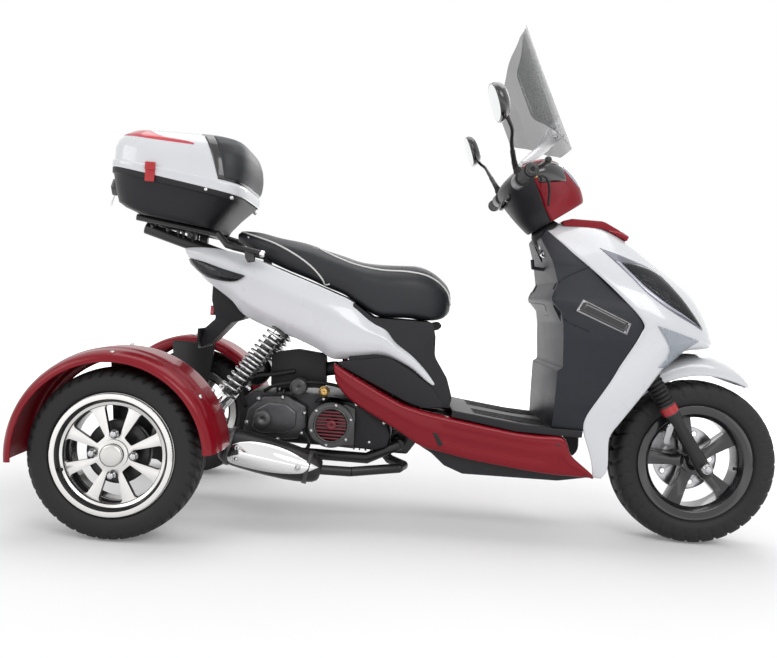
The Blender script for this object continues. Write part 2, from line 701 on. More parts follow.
makeFloor()
makeWorld()
areaLight("keyLight", (1.6, -3.6, 3.0), (0, 0, 0.5), studio["key"], 3.0, 1.6)
areaLight("fillLight", (-3.6, -2.4, 2.2), (-0.2, 0, 0.5), studio["fill"], 2.4, 2.0)
areaLight("topLight", (0, 0.6, 3.8), (0, 0, 0.4), studio["top"], 4.0, 2.4)
areaLight("backLight", (1.0, 3.4, 2.6), (0, 0, 0.6), studio["fill"], 3.0, 1.6)
makeCamera()
bpy.context.scene.view_settings.view_transform = "Standard"
print("studio ready")

# Tyres, with real tread cut into the mesh
rearTyre = {"half": 65, "radius": 208, "bead": 149, "well": 133, "around": 480, "across": 62, "repeats": 46}
frontTyre = {"half": 59.5, "radius": 235, "bead": 167, "well": 153, "around": 500, "across": 60, "repeats": 34}
tread = {"ribs": [(0.20, 1.2), (0.26, 1.2), (0.60, 0.8), (0.66, 0.8)], "ribMost": 0.6, "shoulder": 46, "crown": 20}


def blend01(x, low, high):
    t = min(max((x - low) / (high - low), 0), 1)
    return t * t * (3 - 2 * t)


def tyreSection(t):
    half, radius, bead = t["half"], t["radius"], t["bead"]
    wall = radius - bead
    side = [(half - 14, bead), (half - 6, bead + 0.08 * wall), (half - 1, bead + 0.3 * wall),
            (half, bead + 0.5 * wall), (half - 3, bead + 0.74 * wall), (half - 12, bead + 0.9 * wall),
            (half * 0.45, radius - 1.5), (0, radius)]
    points = [(-y, r, 0) for y, r in side] + [(y, r, 0) for y, r in reversed(side[:-1])]
    return [(p.x, p.y) for p in smoothLine(points, t["across"])]


def rearGroove(angle, y, r, t):
    # two ring grooves with slanting slits out to the shoulder
    far = abs(y) / t["half"]
    ring = 1 - blend01(abs(abs(y) - 17), 2.2, 3.6)
    phase = (angle / (2 * math.pi) * t["repeats"] + far * 1.5 * (1 if y > 0 else -1)) % 1
    slit = 1 - blend01(abs(phase - 0.5), 0.10, 0.15)
    slit *= blend01(far, 0.36, 0.42) * (1 - blend01(far, 0.93, 0.99))
    slit *= blend01(r, t["radius"] - 26, t["radius"] - 16)
    return max(ring * 5.5, slit * 5)


def frontGroove(angle, y, r, t):
    # long curved grooves that reach over the shoulder, staggered left and right
    far = abs(y) / t["half"]
    turn = angle / (2 * math.pi) * t["repeats"] + (0.5 if y > 0 else 0)
    phase = (turn + far * far * 0.9 - 0.5 * far) % 1
    slit = 1 - blend01(abs(phase - 0.5), 0.09, 0.14)
    slit *= blend01(far, 0.10, 0.18) * blend01(r, t["radius"] - 44, t["radius"] - 32)
    ring = 1 - blend01(abs(y), 1.8, 3.2)
    return max(slit * 5, ring * 4.5)


def makeTyre(name, t, centre, groove, body):
    section = tyreSection(t)
    rows = []
    for i in range(t["around"]):
        angle = 2 * math.pi * i / t["around"]
        row = []
        for y, r in section:
            depth = groove(angle, y, r, t) if r > t["radius"] - tread["shoulder"] else 0
            share = (r - t["bead"]) / (t["radius"] - t["bead"])
            rib = sum(h * (1 - blend01(abs(share - s), 0.012, 0.03)) for s, h in tread["ribs"])
            outward = 1 if y > 0 else -1
            lean = blend01(r, t["radius"] - tread["shoulder"], t["radius"] - tread["crown"])
            reach = r - depth * (0.35 + 0.65 * lean)
            aside = y + outward * (min(rib, tread["ribMost"]) - depth * 0.75 * (1 - lean))
            row.append(centre + Vector((reach * math.cos(angle), aside, reach * math.sin(angle))) / 1000)
        for y, r in ((t["half"] - 15, t["well"]), (-t["half"] + 15, t["well"])):
            row.append(centre + Vector((r * math.cos(angle), y, r * math.sin(angle))) / 1000)
        rows.append(row)
    return skin(name, rows, body, finishes["tyreRubber"], closeColumns=True, closeRows=True)


wheels = {"rear_wheel_right": at(0, -390, 208), "rear_wheel_left": at(0, 390, 208), "front_wheel": at(1540, 0, 235)}
for side in ("right", "left"):
    made = makeTyre("tyre_rear_" + side, rearTyre, wheels["rear_wheel_" + side], rearGroove, "rear_wheel_" + side)
    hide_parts("rear_tyre_" + side)
made = makeTyre("tyre_front", frontTyre, wheels["front_wheel"], frontGroove, "front_wheel")
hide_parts("front_tyre")


finishes["alloyCap"] = newFinish("alloyCap", {"colour": (0.62, 0.61, 0.59), "rough": 0.34, "metal": 0.9,
                                              "depth": 0.05, "edge": 0.2})
# Hub: the wheel's middle, its face from there, nuts, radii of the rim's window and lip, angle of the valve
hub = {"middle": 390, "face": 46, "nuts": 4, "nutCircle": 50, "nut": (8.5, 11), "window": 118.5, "lip": 150.5,
       "valveAngle": 200}


def makeWheelHardware(side):
    # nuts on their washers, the plain cap, the ring of the rim's face, its liner and the valve
    sign = -1 if side == "right" else 1
    body = "rear_wheel_" + side
    face = sign * (hub["middle"] + hub["face"])
    bits = []
    for k in range(hub["nuts"]):
        a = 2 * math.pi * k / hub["nuts"]
        place = at(hub["nutCircle"] * math.cos(a), face - sign,
                   stance["rearRadius"] + hub["nutCircle"] * math.sin(a))
        bits.append(hexBolt("nut", place, (0, sign, 0), *hub["nut"], body, finishes["steel"]))
    capSection = [(0, 25), (3, 27.5), (7, 27), (9, 22), (9.6, 12), (9.8, 0.1)]
    bits.append(turned("cap", [(sign * along, radius) for along, radius in capSection],
                       at(0, face + sign * 8, stance["rearRadius"]), body, finishes["alloyCap"], steps=48,
                       closed=False))
    w, lip = hub["window"], hub["lip"]
    ring = [(0, w), (2.5, w + 1.5), (2.5, 143), (5, 145), (7, 148), (6, lip), (-4, lip + 0.5), (-4, w)]
    bits.append(turned("faceRing", [(face + sign * along, radius) for along, radius in ring],
                       at(0, 0, stance["rearRadius"]), body, finishes["alloyRim"], steps=160))
    liner = [(face - sign * 8, w + 0.1), (face - sign * 8, w + 1.9), (sign * 350, w + 1.9), (sign * 350, w + 0.1)]
    bits.append(turned("liner", liner, at(0, 0, stance["rearRadius"]), body, finishes["blackGloss"], steps=120))
    a = math.radians(hub["valveAngle"])
    foot = at(130 * math.cos(a), face + sign * 2, 208 + 130 * math.sin(a))
    tip = at(118 * math.cos(a), face + sign * 22, 208 + 118 * math.sin(a))
    bits.append(tube("valve", [foot, tip], [3.5, 4.5], body, finishes["softRubber"], smooth=False))
    joined("wheel_hardware_" + side, bits)
    drum = [(372, 20), (372, 70), (376, 78), (394, 78), (396, 74), (396, 40)]
    turned("brake_drum_" + side, [(sign * along, radius) for along, radius in drum],
           at(0, 0, stance["rearRadius"]), "chassis", finishes["blackMetal"], steps=64)


for side in ("right", "left"):
    makeWheelHardware(side)
a = math.radians(-5)
valve = tube("valve", [nose(148 * math.cos(a), -12, 148 * math.sin(a)),
                       nose(122 * math.cos(a), -26, 122 * math.sin(a))], [3.5, 5], "front_wheel",
             finishes["softRubber"], smooth=False)
joined("front_valve", [valve])
print("wheels made")

# Body panels
sideRay = 1.2
rayTargets = []


def cast(target, x, z, side=-1, lift=0.0):
    # the point of a piece met by looking straight in from the side, raised by lift
    start = Vector((x, side * sideRay, z))
    hit, place, normal = target.ray_cast(start, Vector((0, -side, 0)))[:3]
    if not hit:
        place, normal = target.closest_point_on_mesh(Vector((x, side * 0.15, z)))[1:3]
    if normal.y * side < 0:
        normal = -normal
    return place + normal * lift / 1000


def strip(lineA, lineB, along, acrossCount):
    # rows of side points between two lines, given as (x, z)
    a = smoothLine([(p[0], p[1], 0) for p in lineA], along)
    b = smoothLine([(p[0], p[1], 0) for p in lineB], along)
    return [[a[i].lerp(b[i], j / (acrossCount - 1)) for j in range(acrossCount)] for i in range(along)]


def patch(name, target, lineA, lineB, body, finish, along=28, count=9, lift=1.5, bulge=0.0, thick=2.0, place=at,
          side=-1):
    # a piece laid over another one between two lines of side points
    rows = []
    flat = strip(lineA, lineB, along, count)
    for i, row in enumerate(flat):
        out = []
        for j, p in enumerate(row):
            spot = place(p.x, 0, p.y)
            swell = 0
            if 0 < i < along - 1 and 0 < j < count - 1:
                swell = bulge * (math.sin(math.pi * i / (along - 1)) * math.sin(math.pi * j / (count - 1))) ** 0.7
            out.append(cast(target, spot.x, spot.z, side, lift + swell))
        rows.append(out)
    return skin(name, rows, body, finish, thick=thick)


def evaluatedCopy(obj, name):
    # a still copy of a piece with its modifiers applied, used as a target for rays
    mesh = bpy.data.meshes.new_from_object(obj.evaluated_get(bpy.context.evaluated_depsgraph_get()))
    copy = bpy.data.objects.new(name, mesh)
    bpy.context.scene.collection.objects.link(copy)
    bpy.context.view_layer.update()
    rayTargets.append(copy)
    return copy


# Columns: x and z of the seam with the leg shield, half width there, then x, y and z of the front edge
apronRows = [
    (-489, 627, 66, -448, 0, 655), (-470, 611, 84, -400, 0, 660), (-446, 590, 104, -330, 0, 659),
    (-415, 562, 130, -262, 0, 627), (-380, 532, 152, -190, 0, 578), (-337, 495, 172, -120, 0, 524),
    (-290, 452, 186, -60, 0, 478), (-243, 407, 194, -18, 0, 415), (-226, 380, 196, 10, 0, 345),
    (-232, 365, 196, 4, 34, 332), (-242, 341, 196, -42, 86, 326), (-262, 304, 195, -100, 118, 320),
    (-282, 268, 194, -140, 140, 286), (-300, 229, 192, -180, 154, 228), (-330, 176, 189, -216, 162, 177),
    (-359, 123, 184, -262, 168, 112), (-362, 84, 180, -288, 170, 72), (-345, 40, 176, -286, 170, 20),
    (-330, 0, 172, -285, 168, -22), (-322, -42, 168, -300, 166, -43)]
apron = {"columns": 18, "round": 2.5, "wall": 3.5}


def makeApron():
    table = smoothTable(apronRows, 46)
    rows = []
    for xr, zr, yr, xf, yf, zf in table:
        row = []
        for k in range(apron["columns"]):
            t = k / (apron["columns"] - 1)
            a = t * math.pi / 2
            across = math.cos(a) ** (2 / apron["round"]) if k < apron["columns"] - 1 else 0
            forward = math.sin(a) ** (2 / apron["round"]) if k else 0
            fall = t * t * (3 - 2 * t)
            row.append(nose(xr + (xf - xr) * forward, -(yf + (yr - yf) * across), zr + (zf - zr) * fall))
        rows.append(row)
    return skin("front_shell", rows, "chassis", finishes["whitePaint"])


def smoothTable(rows, count):
    # the rows of a table joined by a smooth line, column by column
    total = len(rows)
    result = []
    for i in range(count):
        s = (total - 1) * i / (count - 1)
        k = min(int(s), total - 2)
        t = s - k
        a = rows[max(k - 1, 0)]
        b, c = rows[k], rows[k + 1]
        d = rows[min(k + 2, total - 1)]
        result.append([0.5 * (2 * q + (r - p) * t + (2 * p - 5 * q + 4 * r - w) * t * t
                              + (3 * q - p - 3 * r + w) * t ** 3) for p, q, r, w in zip(a, b, c, d)])
    return result


shell = makeApron()
modify(shell, "MIRROR", use_axis=(False, True, False), use_clip=True, merge_threshold=0.0005)
modify(shell, "SUBSURF", levels=1, render_levels=1)
applied(shell)
skinTarget = evaluatedCopy(shell, "rayTarget")

# Lines of the lamps, from the front axle
headlamp = {
    "top": [(-344, 585), (-262, 560), (-182, 529), (-128, 476), (-91, 432), (-54, 380)],
    "low": [(-344, 585), (-304, 548), (-262, 508), (-212, 462), (-140, 418), (-54, 380)],
    "lensTop": [(-290, 548), (-232, 541), (-182, 524), (-130, 472), (-94, 429), (-58, 383)],
    "lensLow": [(-290, 548), (-254, 512), (-218, 480), (-165, 444), (-115, 417), (-58, 383)],
    "divider": [(-304, 551), (-262, 508), (-222, 470), (-167, 435), (-114, 411), (-58, 383)],
    "reflectors": [(-236, 520, -196, 506, 17), (-204, 488, -160, 472, 17), (-176, 462, -132, 446, 12)]}
blinker = {"inner": [(-176, 272), (-156, 300), (-156, 330), (-192, 384)],
           "outer": [(-150, 276), (-122, 306), (-96, 332), (-68, 352)], "ribs": (0.35, 0.55, 0.75)}


def makeHeadlamp(side, word):
    h = headlamp
    laid = {"place": nose, "side": side}
    patch("lamp_surround_" + word, skinTarget, h["top"], h["low"], "chassis", finishes["lampShade"], along=40,
          count=10, lift=1.2, thick=2.0, **laid)
    patch("lamp_bowl_" + word, skinTarget, h["lensTop"], h["lensLow"], "chassis", finishes["blackGloss"], along=36,
          count=10, lift=1.8, thick=1.0, **laid)
    patch("lamp_divider_" + word, skinTarget, h["lensLow"], h["divider"], "chassis", finishes["lampTrim"], along=40,
          count=5, lift=2.6, bulge=1.5, thick=1.4, **laid)
    bits = []
    for xa, za, xb, zb, high in h["reflectors"]:
        bits.append(patch("bar", skinTarget, [(xa, za), (xb, zb)], [(xa + 3, za - high), (xb + 3, zb - high)],
                          "chassis", finishes["lampInside"], along=8, count=6, lift=3.0, bulge=1.6, thick=0.8,
                          **laid))
    joined("lamp_reflectors_" + word, bits)
    lens = patch("headlamp_lens_" + word, skinTarget, h["lensTop"], h["lensLow"], "chassis", finishes["darkLens"],
                 along=40, count=12, lift=4.6, bulge=3.0, thick=1.6, **laid)
    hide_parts("headlamp_" + word)


def makeBlinker(side, word):
    inner, outer = blinker["inner"], blinker["outer"]
    laid = {"place": nose, "side": side}
    patch("indicator_bowl_" + word, skinTarget, inner, outer, "chassis", finishes["lampInside"], along=24, count=10,
          lift=1.5, thick=1.0, **laid)
    clear = patch("indicator_lens_" + word, skinTarget, inner, outer, "chassis", finishes["clearLens"], along=28,
                  count=12, lift=3.2, bulge=8.0, thick=1.6, **laid)
    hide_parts("front_indicator_" + word)
    ribs = []
    fineInner = smoothLine([(p[0], p[1], 0) for p in inner], 11)
    fineOuter = smoothLine([(p[0], p[1], 0) for p in outer], 11)
    for share in blinker["ribs"]:
        a, b = fineInner[int(share * 10)], fineOuter[int(share * 10)]
        pts = []
        for k in range(5):
            q = a.lerp(b, 0.15 + 0.7 * k / 4)
            spot = nose(q.x, 0, q.y)
            pts.append(cast(skinTarget, spot.x, spot.z, side, 3.5))
        ribs.append(tube("rib", pts, 1.4, "chassis", finishes["lampInside"], sides=6))
    joined("indicator_ribs_" + word, ribs)


for side, word in ((-1, "right"), (1, "left")):
    makeHeadlamp(side, word)
    makeBlinker(side, word)
shell.data.materials.append(finishes["blackPlastic"])
modify(shell, "SOLIDIFY", thickness=apron["wall"] / 1000, offset=-1, material_offset=1)
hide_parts("front_panel")
print("front shell made")

# Side panels: columns are x and z of the top edge, then of the bottom edge
tailRows = [
    (46, 730, 52, 716), (90, 735, 72, 688), (134, 736, 104, 650), (180, 730, 152, 618), (222, 722, 194, 590),
    (288, 703, 228, 556), (350, 682, 300, 527), (420, 659, 366, 508), (480, 638, 440, 480), (531, 618, 488, 455),
    (580, 577, 560, 466), (626, 549, 620, 477), (655, 516, 668, 464), (704, 483, 708, 445), (746, 443, 742, 420),
    (770, 412, 764, 408)]
# Columns: share of the way down, how far the face leans in
tailFace = [(0, 24), (0.10, 14), (0.30, 1), (0.36, 0), (0.6, 0), (0.80, 4), (0.86, 8), (1.0, 26)]


def tailHalfWidth(x):
    knots = [(20, 66), (60, 106), (160, 128), (285, 152), (400, 162), (500, 167), (820, 168)]
    for (xa, ya), (xb, yb) in zip(knots, knots[1:]):
        if x <= xb:
            t = min(max((x - xa) / (xb - xa), 0), 1)
            return ya + (yb - ya) * t
    return 168


def leanIn(t, table):
    for (a, p), (b, q) in zip(table, table[1:]):
        if t <= b:
            return p + (q - p) * (t - a) / (b - a)
    return table[-1][1]


def makeTailPanel():
    rows = []
    shares = [0, 0.06, 0.14, 0.22, 0.30, 0.36, 0.45, 0.55, 0.66, 0.76, 0.82, 0.88, 0.94, 1.0]
    for xt, zt, xb, zb in smoothTable(tailRows, 60):
        height = math.hypot(xt - xb, zt - zb)
        scale = min(height / 90, 1)
        row = []
        for t in shares:
            x, z = xt + (xb - xt) * t, zt + (zb - zt) * t
            row.append(at(x, -(tailHalfWidth(x) - leanIn(t, tailFace) * scale), z))
        rows.append(row)
    obj = skin("tail_panel_right", rows, "chassis", finishes["whitePaint"], thick=3.2)
    modify(obj, "SUBSURF", levels=1, render_levels=1)
    return applied(obj)


rightTail = makeTailPanel()
leftTail = mirrorCopy(rightTail, "tail_panel_left")
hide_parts("side_panel_right")
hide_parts("side_panel_left")
tailTarget = {-1: evaluatedCopy(rightTail, "rayTailRight"), 1: evaluatedCopy(leftTail, "rayTailLeft")}
lampRows = ([(68, 702), (110, 694), (160, 680), (230, 664)],
            [(72, 690), (112, 661), (160, 648), (204, 648), (230, 664)])
for side, word in ((-1, "right"), (1, "left")):
    patch("tail_lamp_base_" + word, tailTarget[side], *lampRows, "chassis", finishes["blackGloss"], along=34,
          count=10, lift=1.2, bulge=5, thick=3, side=side)
    patch("tail_lamp_stripe_" + word, tailTarget[side], [(112, 690), (150, 680), (196, 668)],
          [(116, 676), (152, 664), (198, 660)], "chassis", finishes["lampInside"], along=18, count=5, lift=6.4,
          thick=0.8, side=side)
    cover = patch("tail_lamp_lens_" + word, tailTarget[side], *lampRows, "chassis", finishes["darkLens"], along=34,
                  count=10, lift=5.0, bulge=6, thick=1.4, side=side)
    if side < 0:
        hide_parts("tail_lamp")
print("tail panels made")

# Seat: columns are x, top, bottom, half width, half width of the crown
seatRows = [
    (184, 792, 762, 50, 34), (200, 797, 754, 64, 44), (240, 794, 736, 86, 60), (282, 787, 712, 100, 70),
    (340, 779, 690, 110, 76), (403, 768, 670, 118, 82), (450, 755, 652, 125, 86), (504, 741, 634, 133, 92),
    (550, 732, 606, 138, 96), (600, 729, 582, 140, 98), (650, 732, 580, 139, 96), (696, 733, 580, 133, 90),
    (735, 724, 581, 120, 78), (765, 708, 584, 102, 62), (788, 688, 594, 80, 44), (802, 664, 612, 52, 24)]
seatCushion = {"stations": 64, "around": 22, "welt": 3.2, "sag": 3.0}


def seatPoint(row, t):
    # t runs from the middle of the top, over the edge and down to the middle of the underside
    x, top, bottom, wide, crown = row
    drop = min(top - bottom, 150)
    line = [(0, 0), (crown * 0.55, -1.5), (crown, -8), (wide - 7, -0.26 * drop), (wide, -0.50 * drop),
            (wide - 5, -0.80 * drop), (wide - 16, -0.98 * drop), (wide * 0.5, -drop), (0, -drop)]
    s = t * (len(line) - 1)
    k = min(int(s), len(line) - 2)
    f = s - k
    a, b, c, d = line[max(k - 1, 0)], line[k], line[k + 1], line[min(k + 2, len(line) - 1)]
    y, z = [0.5 * (2 * q + (r - p) * f + (2 * p - 5 * q + 4 * r - w) * f * f + (3 * q - p - 3 * r + w) * f ** 3)
            for p, q, r, w in zip(a, b, c, d)]
    return x, max(y, 0), top + z


def makeSeat():
    rows = []
    table = smoothTable(seatRows, seatCushion["stations"])
    for row in table:
        out = []
        for k in range(seatCushion["around"] + 1):
            t = k / seatCushion["around"]
            x, y, z = seatPoint(row, t)
            seam = math.exp(-((t - 0.25) / 0.018) ** 2) * 2.2      # sewn line along the edge of the crown
            z -= seam
            if t < 0.22:                                          # soft fullness of the padding
                z += 1.2 * math.sin(x * 0.055) * math.cos(y * 0.02)
            out.append(at(x, -y, z))
        rows.append(out)
    # full loop: right half then left half
    loops = []
    for out in rows:
        left = [Vector((p.x, -p.y, p.z)) for p in reversed(out[1:-1])]
        loops.append(out + left)
    obj = skin("seat_cushion", loops, "seat", finishes["vinyl"], closeColumns=True, caps=True)
    modify(obj, "SUBSURF", levels=1, render_levels=1)
    applied(obj)
    return obj


cushion = makeSeat()
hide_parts("seat")
seatTarget = evaluatedCopy(cushion, "raySeat")
pipingLines = [
    [(184, 792), (232, 780), (296, 762), (352, 738), (402, 708), (436, 676), (452, 650)],
    [(420, 758), (470, 738), (530, 720), (600, 711), (670, 712), (725, 706), (764, 688), (790, 662), (800, 630)]]
for number, line in enumerate(pipingLines):
    bits = []
    for side in (-1, 1):
        pts = []
        for q in smoothLine([(p[0], p[1], 0) for p in line], 34):
            spot = at(q.x, 0, q.y)
            pts.append(cast(seatTarget, spot.x, spot.z, side, 0.6))
        bits.append(tube("welt", pts, 2.4, "seat", finishes["piping"], sides=8, count=80))
    joined("seat_piping_" + str(number + 1), bits)
print("seat made")

# Fenders
rearFender = {"radius": 258, "inner": 296, "outer": 484, "drop": 34, "front": 6, "back": 187, "wall": 4}


def makeRearFender(side):
    f = rearFender
    sign = -1 if side == "right" else 1
    r, a, b = f["radius"], f["inner"], f["outer"]
    outer = [(a, r - f["drop"]), (a, r - 16), (a + 6, r - 6), (a + 20, r - 1), (a + 40, r), (b - 74, r),
             (b - 62, r - 0.5), (b - 58, r - 3.5), (b - 30, r - 5.5), (b - 25, r - 8), (b - 12, r - 12),
             (b - 4, r - 18), (b, r - 26), (b, r - f["drop"])]
    inner = [(b - f["wall"], r - f["drop"]), (b - f["wall"], r - 25), (b - 16, r - 16.5), (b - 34, r - 10.5),
             (b - 64, r - 5), (a + 40, r - 4), (a + 20, r - 5), (a + 9, r - 10), (a + 4, r - 18),
             (a + 4, r - f["drop"])]
    section = [(sign * y, rad) for y, rad in outer + inner]
    obj = turned("fender_rear_" + side, section, at(0, 0, 208), "chassis", finishes["redPaint"], steps=120,
                 start=f["front"], sweep=f["back"] - f["front"])
    modify(obj, "SUBSURF", levels=1, render_levels=1)
    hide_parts("rear_fender_" + side)
    bits = []
    for angle, y in ((92, b - 22), (38, b - 44), (92, a + 24), (38, a + 24)):
        w = math.radians(angle)
        low = r - (12 if y > b - 40 else (5 if y > b - 60 else 1))
        place = at(low * math.cos(w), sign * y, 208 + low * math.sin(w))
        out = Vector((math.cos(w), sign * (0.35 if y > b - 40 else 0.1), math.sin(w)))
        bits.append(hexBolt("bolt", place - out.normalized() * 0.001, out, 5.2, 5, "chassis", finishes["steel"],
                            sides=20))
    joined("fender_bolts_" + side, bits)


for side in ("right", "left"):
    makeRearFender(side)

# Columns: angle round the wheel, crest radius, edge radius, half width
frontFenderRows = [
    (56.5, 272, 268, 16), (60, 279, 262, 40), (66, 288, 257, 56), (74, 298, 254, 66), (84, 307, 253, 71),
    (95, 313, 253, 72), (106, 313, 252, 72), (118, 304, 252, 71), (130, 295, 252, 70), (142, 288, 252, 68),
    (153, 283, 254, 62)]


def makeFrontFender():
    rows = []
    for angle, crest, edge, half in smoothTable(frontFenderRows, 44):
        w = math.radians(angle)
        row = []
        for k in range(25):
            s = -1 + 2 * k / 24
            ridge = 4.0 * math.exp(-(s / 0.22) ** 2)
            rad = crest - 4 - (crest - 4 - edge) * (abs(s) ** 2.6) + ridge
            y = half * math.sin(min(abs(s) * 1.12, 1) * math.pi / 2) * (1 if s > 0 else -1)
            row.append(at(1540 + rad * math.cos(w), y, 235 + rad * math.sin(w)))
        rows.append(row)
    obj = skin("fender_front", rows, "steering", finishes["whitePaint"], thick=3.2)
    modify(obj, "SUBSURF", levels=1, render_levels=1)
    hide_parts("front_fender")


makeFrontFender()
print("fenders made")


# Load box: columns are share up, back, front, half width
boxBaseRows = [(0, -85, 129, 156), (0.03, -92, 132, 160), (0.10, -122, 135, 164), (0.19, -141, 141, 168),
               (0.5, -150, 164, 178), (0.84, -156, 193, 190), (0.87, -160, 198, 194), (1.0, -160, 205, 197)]
lidRows = [(0.003, -160, 210, 197), (0.02, -161, 213, 198), (0.15, -161, 213, 198), (0.18, -157, 210, 194),
           (0.45, -157, 208, 190), (0.62, -151, 204, 183), (0.76, -138, 196, 171), (0.88, -116, 180, 150),
           (0.95, -88, 150, 122), (0.985, -50, 105, 84), (1.0, -10, 50, 30)]
box = {"square": 5.0, "around": 88, "crown": 1051, "seamBack": 931, "seamFront": 874, "base": 812}


def boxLevel(x):
    return box["base"] - 0.126 * (x + 85)


def seamLevel(x):
    return box["seamBack"] + (box["seamFront"] - box["seamBack"]) * (x + 158) / 363


def boxPoint(row, angle, lid):
    share, back, front, half = row
    c, s = math.cos(angle), math.sin(angle)
    x = (back + front) / 2 + (front - back) / 2 * math.copysign(abs(c) ** (2 / box["square"]), c)
    y = half * math.copysign(abs(s) ** (2 / box["square"]), s)
    low, high = (seamLevel(x), box["crown"]) if lid else (boxLevel(x), seamLevel(x))
    return at(x, y, low + (high - low) * share)


def boxRow(rows, share):
    for a, b in zip(rows, rows[1:]):
        if share <= b[0]:
            t = (share - a[0]) / (b[0] - a[0])
            return [p + (q - p) * t for p, q in zip(a, b)]
    return list(rows[-1])


def makeBoxShell(name, table, lid, body, finish):
    rows = []
    for row in table:
        rows.append([boxPoint(row, 2 * math.pi * k / box["around"], lid) for k in range(box["around"])])
    verts = [p for row in rows for p in row]
    n = box["around"]
    faces = gridFaces(len(rows), n, closeColumns=True)
    faces.append(tuple(range(len(verts) - n, len(verts))) if lid else tuple(range(n)))
    obj = newObject(name, verts, faces, body, finish)
    modify(obj, "SOLIDIFY", thickness=0.003, offset=-1)
    softEdges(obj, width=1.2, segments=2, angle=30)
    return obj


def boxPatch(name, table, lid, fan, low, high, lift, bulge, thick, body, finish, along=56, count=12):
    # a piece laid over the shell: fan gives the angles and low and high the shares, at each place along
    rows = []
    for i in range(along):
        t = i / (along - 1)
        row = []
        for j in range(count):
            s = j / (count - 1)
            share = low(t) + (high(t) - low(t)) * s
            angle = math.radians(fan(t, share))
            p = boxPoint(boxRow(table, share), angle, lid)
            q = boxPoint(boxRow(table, share), angle + 0.01, lid)
            r = boxPoint(boxRow(table, min(share + 0.01, 0.999)), angle, lid)
            normal = (q - p).cross(r - p).normalized()
            if normal.dot(p - at(25, 0, 900)) < 0:
                normal = -normal
            swell = bulge * (math.sin(math.pi * t) * math.sin(math.pi * s)) ** 0.5 if 0 < i < along - 1 and \
                0 < j < count - 1 else 0
            row.append(p + normal * (lift + swell) / 1000)
        rows.append(row)
    return skin(name, rows, body, finish, thick=thick)


baseShell = makeBoxShell("box_tub", boxBaseRows, False, "chassis", finishes["blackPlastic"])
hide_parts("box_base")
lidShell = makeBoxShell("box_lid_shell", lidRows, True, "box_lid", finishes["whitePaint"])
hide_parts("box_lid")
boxPatch("lid_reflector", lidRows, True, lambda t, s: 88 + 184 * t,
         lambda t: 0.74 - 0.05 * abs(2 * t - 1) ** 2, lambda t: 0.93 - 0.21 * abs(2 * t - 1) ** 7,
         0.8, 0.6, 2.2, "box_lid", finishes["redBand"], along=120, count=8)
boxPatch("backrest_border", lidRows, True, lambda t, s: (-66 - 20 * s) + (132 + 40 * s) * t,
         lambda t: 0.19, lambda t: 0.93, 1.5, 0.4, 1.4, "box_lid", finishes["blackGloss"], along=80)
pad = boxPatch("backrest_pad", lidRows, True, lambda t, s: (-58 - 18 * s) + (116 + 36 * s) * t,
               lambda t: 0.22, lambda t: 0.90, 3.2, 10.5, 1.6, "box_lid", finishes["vinyl"], along=72, count=20)
modify(pad, "SUBSURF", levels=1, render_levels=1)
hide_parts("backrest")


def plate(name, low, high, body, finish, edge=2.0, segments=3):
    # a rounded block between two corners given in millimetres
    corners = [at(x, y, z) for x in (low[0], high[0]) for y in (low[1], high[1]) for z in (low[2], high[2])]
    faces = [(0, 1, 3, 2), (4, 6, 7, 5), (0, 4, 5, 1), (2, 3, 7, 6), (0, 2, 6, 4), (1, 5, 7, 3)]
    obj = newObject(name, corners, faces, body, finish)
    return softEdges(obj, width=edge, segments=segments, angle=30)


def slab(name, points, ya, yb, body, finish, edge=1.5):
    # a side outline of given thickness with rounded edges
    n = len(points)
    verts = [at(p[0], ya, p[1]) for p in points] + [at(p[0], yb, p[1]) for p in points]
    faces = [tuple(range(n)), tuple(range(n, 2 * n))]
    faces += [(i, (i + 1) % n, n + (i + 1) % n, n + i) for i in range(n)]
    return softEdges(newObject(name, verts, faces, body, finish), width=edge, segments=2, angle=30)


def spun(name, section, origin, axis, body, finish, steps=40, caps=True):
    # section points are (along the axis, radius)
    run = Vector(axis).normalized()
    side = run.orthogonal().normalized()
    other = run.cross(side)
    rows = []
    for along, radius in section:
        rows.append([origin + run * along / 1000
                     + (side * math.cos(2 * math.pi * k / steps) + other * math.sin(2 * math.pi * k / steps))
                     * radius / 1000 for k in range(steps)])
    return skin(name, rows, body, finish, closeColumns=True, caps=caps)


for side, word in ((-1, "right"), (1, "left")):
    bits = [plate("latch", (-45, side * 197, 892), (-19, side * 203, 940), "box_lid", finishes["redPlastic"], 2.4),
            plate("latchTop", (-46, side * 198, 922), (-18, side * 206, 944), "box_lid", finishes["redPlastic"], 3)]
    joined("lid_latch_" + word, bits)
    joined("box_stay_bolts_" + word, [
        hexBolt("stay", at(118, side * 190, 884), (0, side, 0), 4.5, 7, "chassis", finishes["steel"], sides=20),
        hexBolt("stay", at(186, side * 184, 868), (0, side, 0), 4.0, 6, "chassis", finishes["steel"], sides=20)])
keyBits = [
    spun("lock", [(0, 12), (9, 12), (12, 10), (12.5, 4)], at(-156, 0, 917), (-1, 0, 0), "chassis",
         finishes["chrome"]),
    tube("ring", [at(-180 + 11 * math.cos(w), 11 * math.sin(w), 916) for w in
                  [math.radians(a) for a in range(0, 361, 30)]], 1.2, "chassis", finishes["steel"], sides=8),
    slab("fob", [(-198, 916), (-184, 916), (-178, 888), (-184, 868), (-198, 870), (-204, 894)], -3, 3, "chassis",
         finishes["blackGloss"], 2),
    slab("blade", [(-195, 872), (-190, 872), (-197, 838), (-202, 838)], -1, 1, "chassis", finishes["steel"], 0.3)]
joined("box_keys", keyBits)
rackPeg = {"ahead": (-52, -8, 22, 36, 62), "aside": 84, "sink": 16}
pegs = []
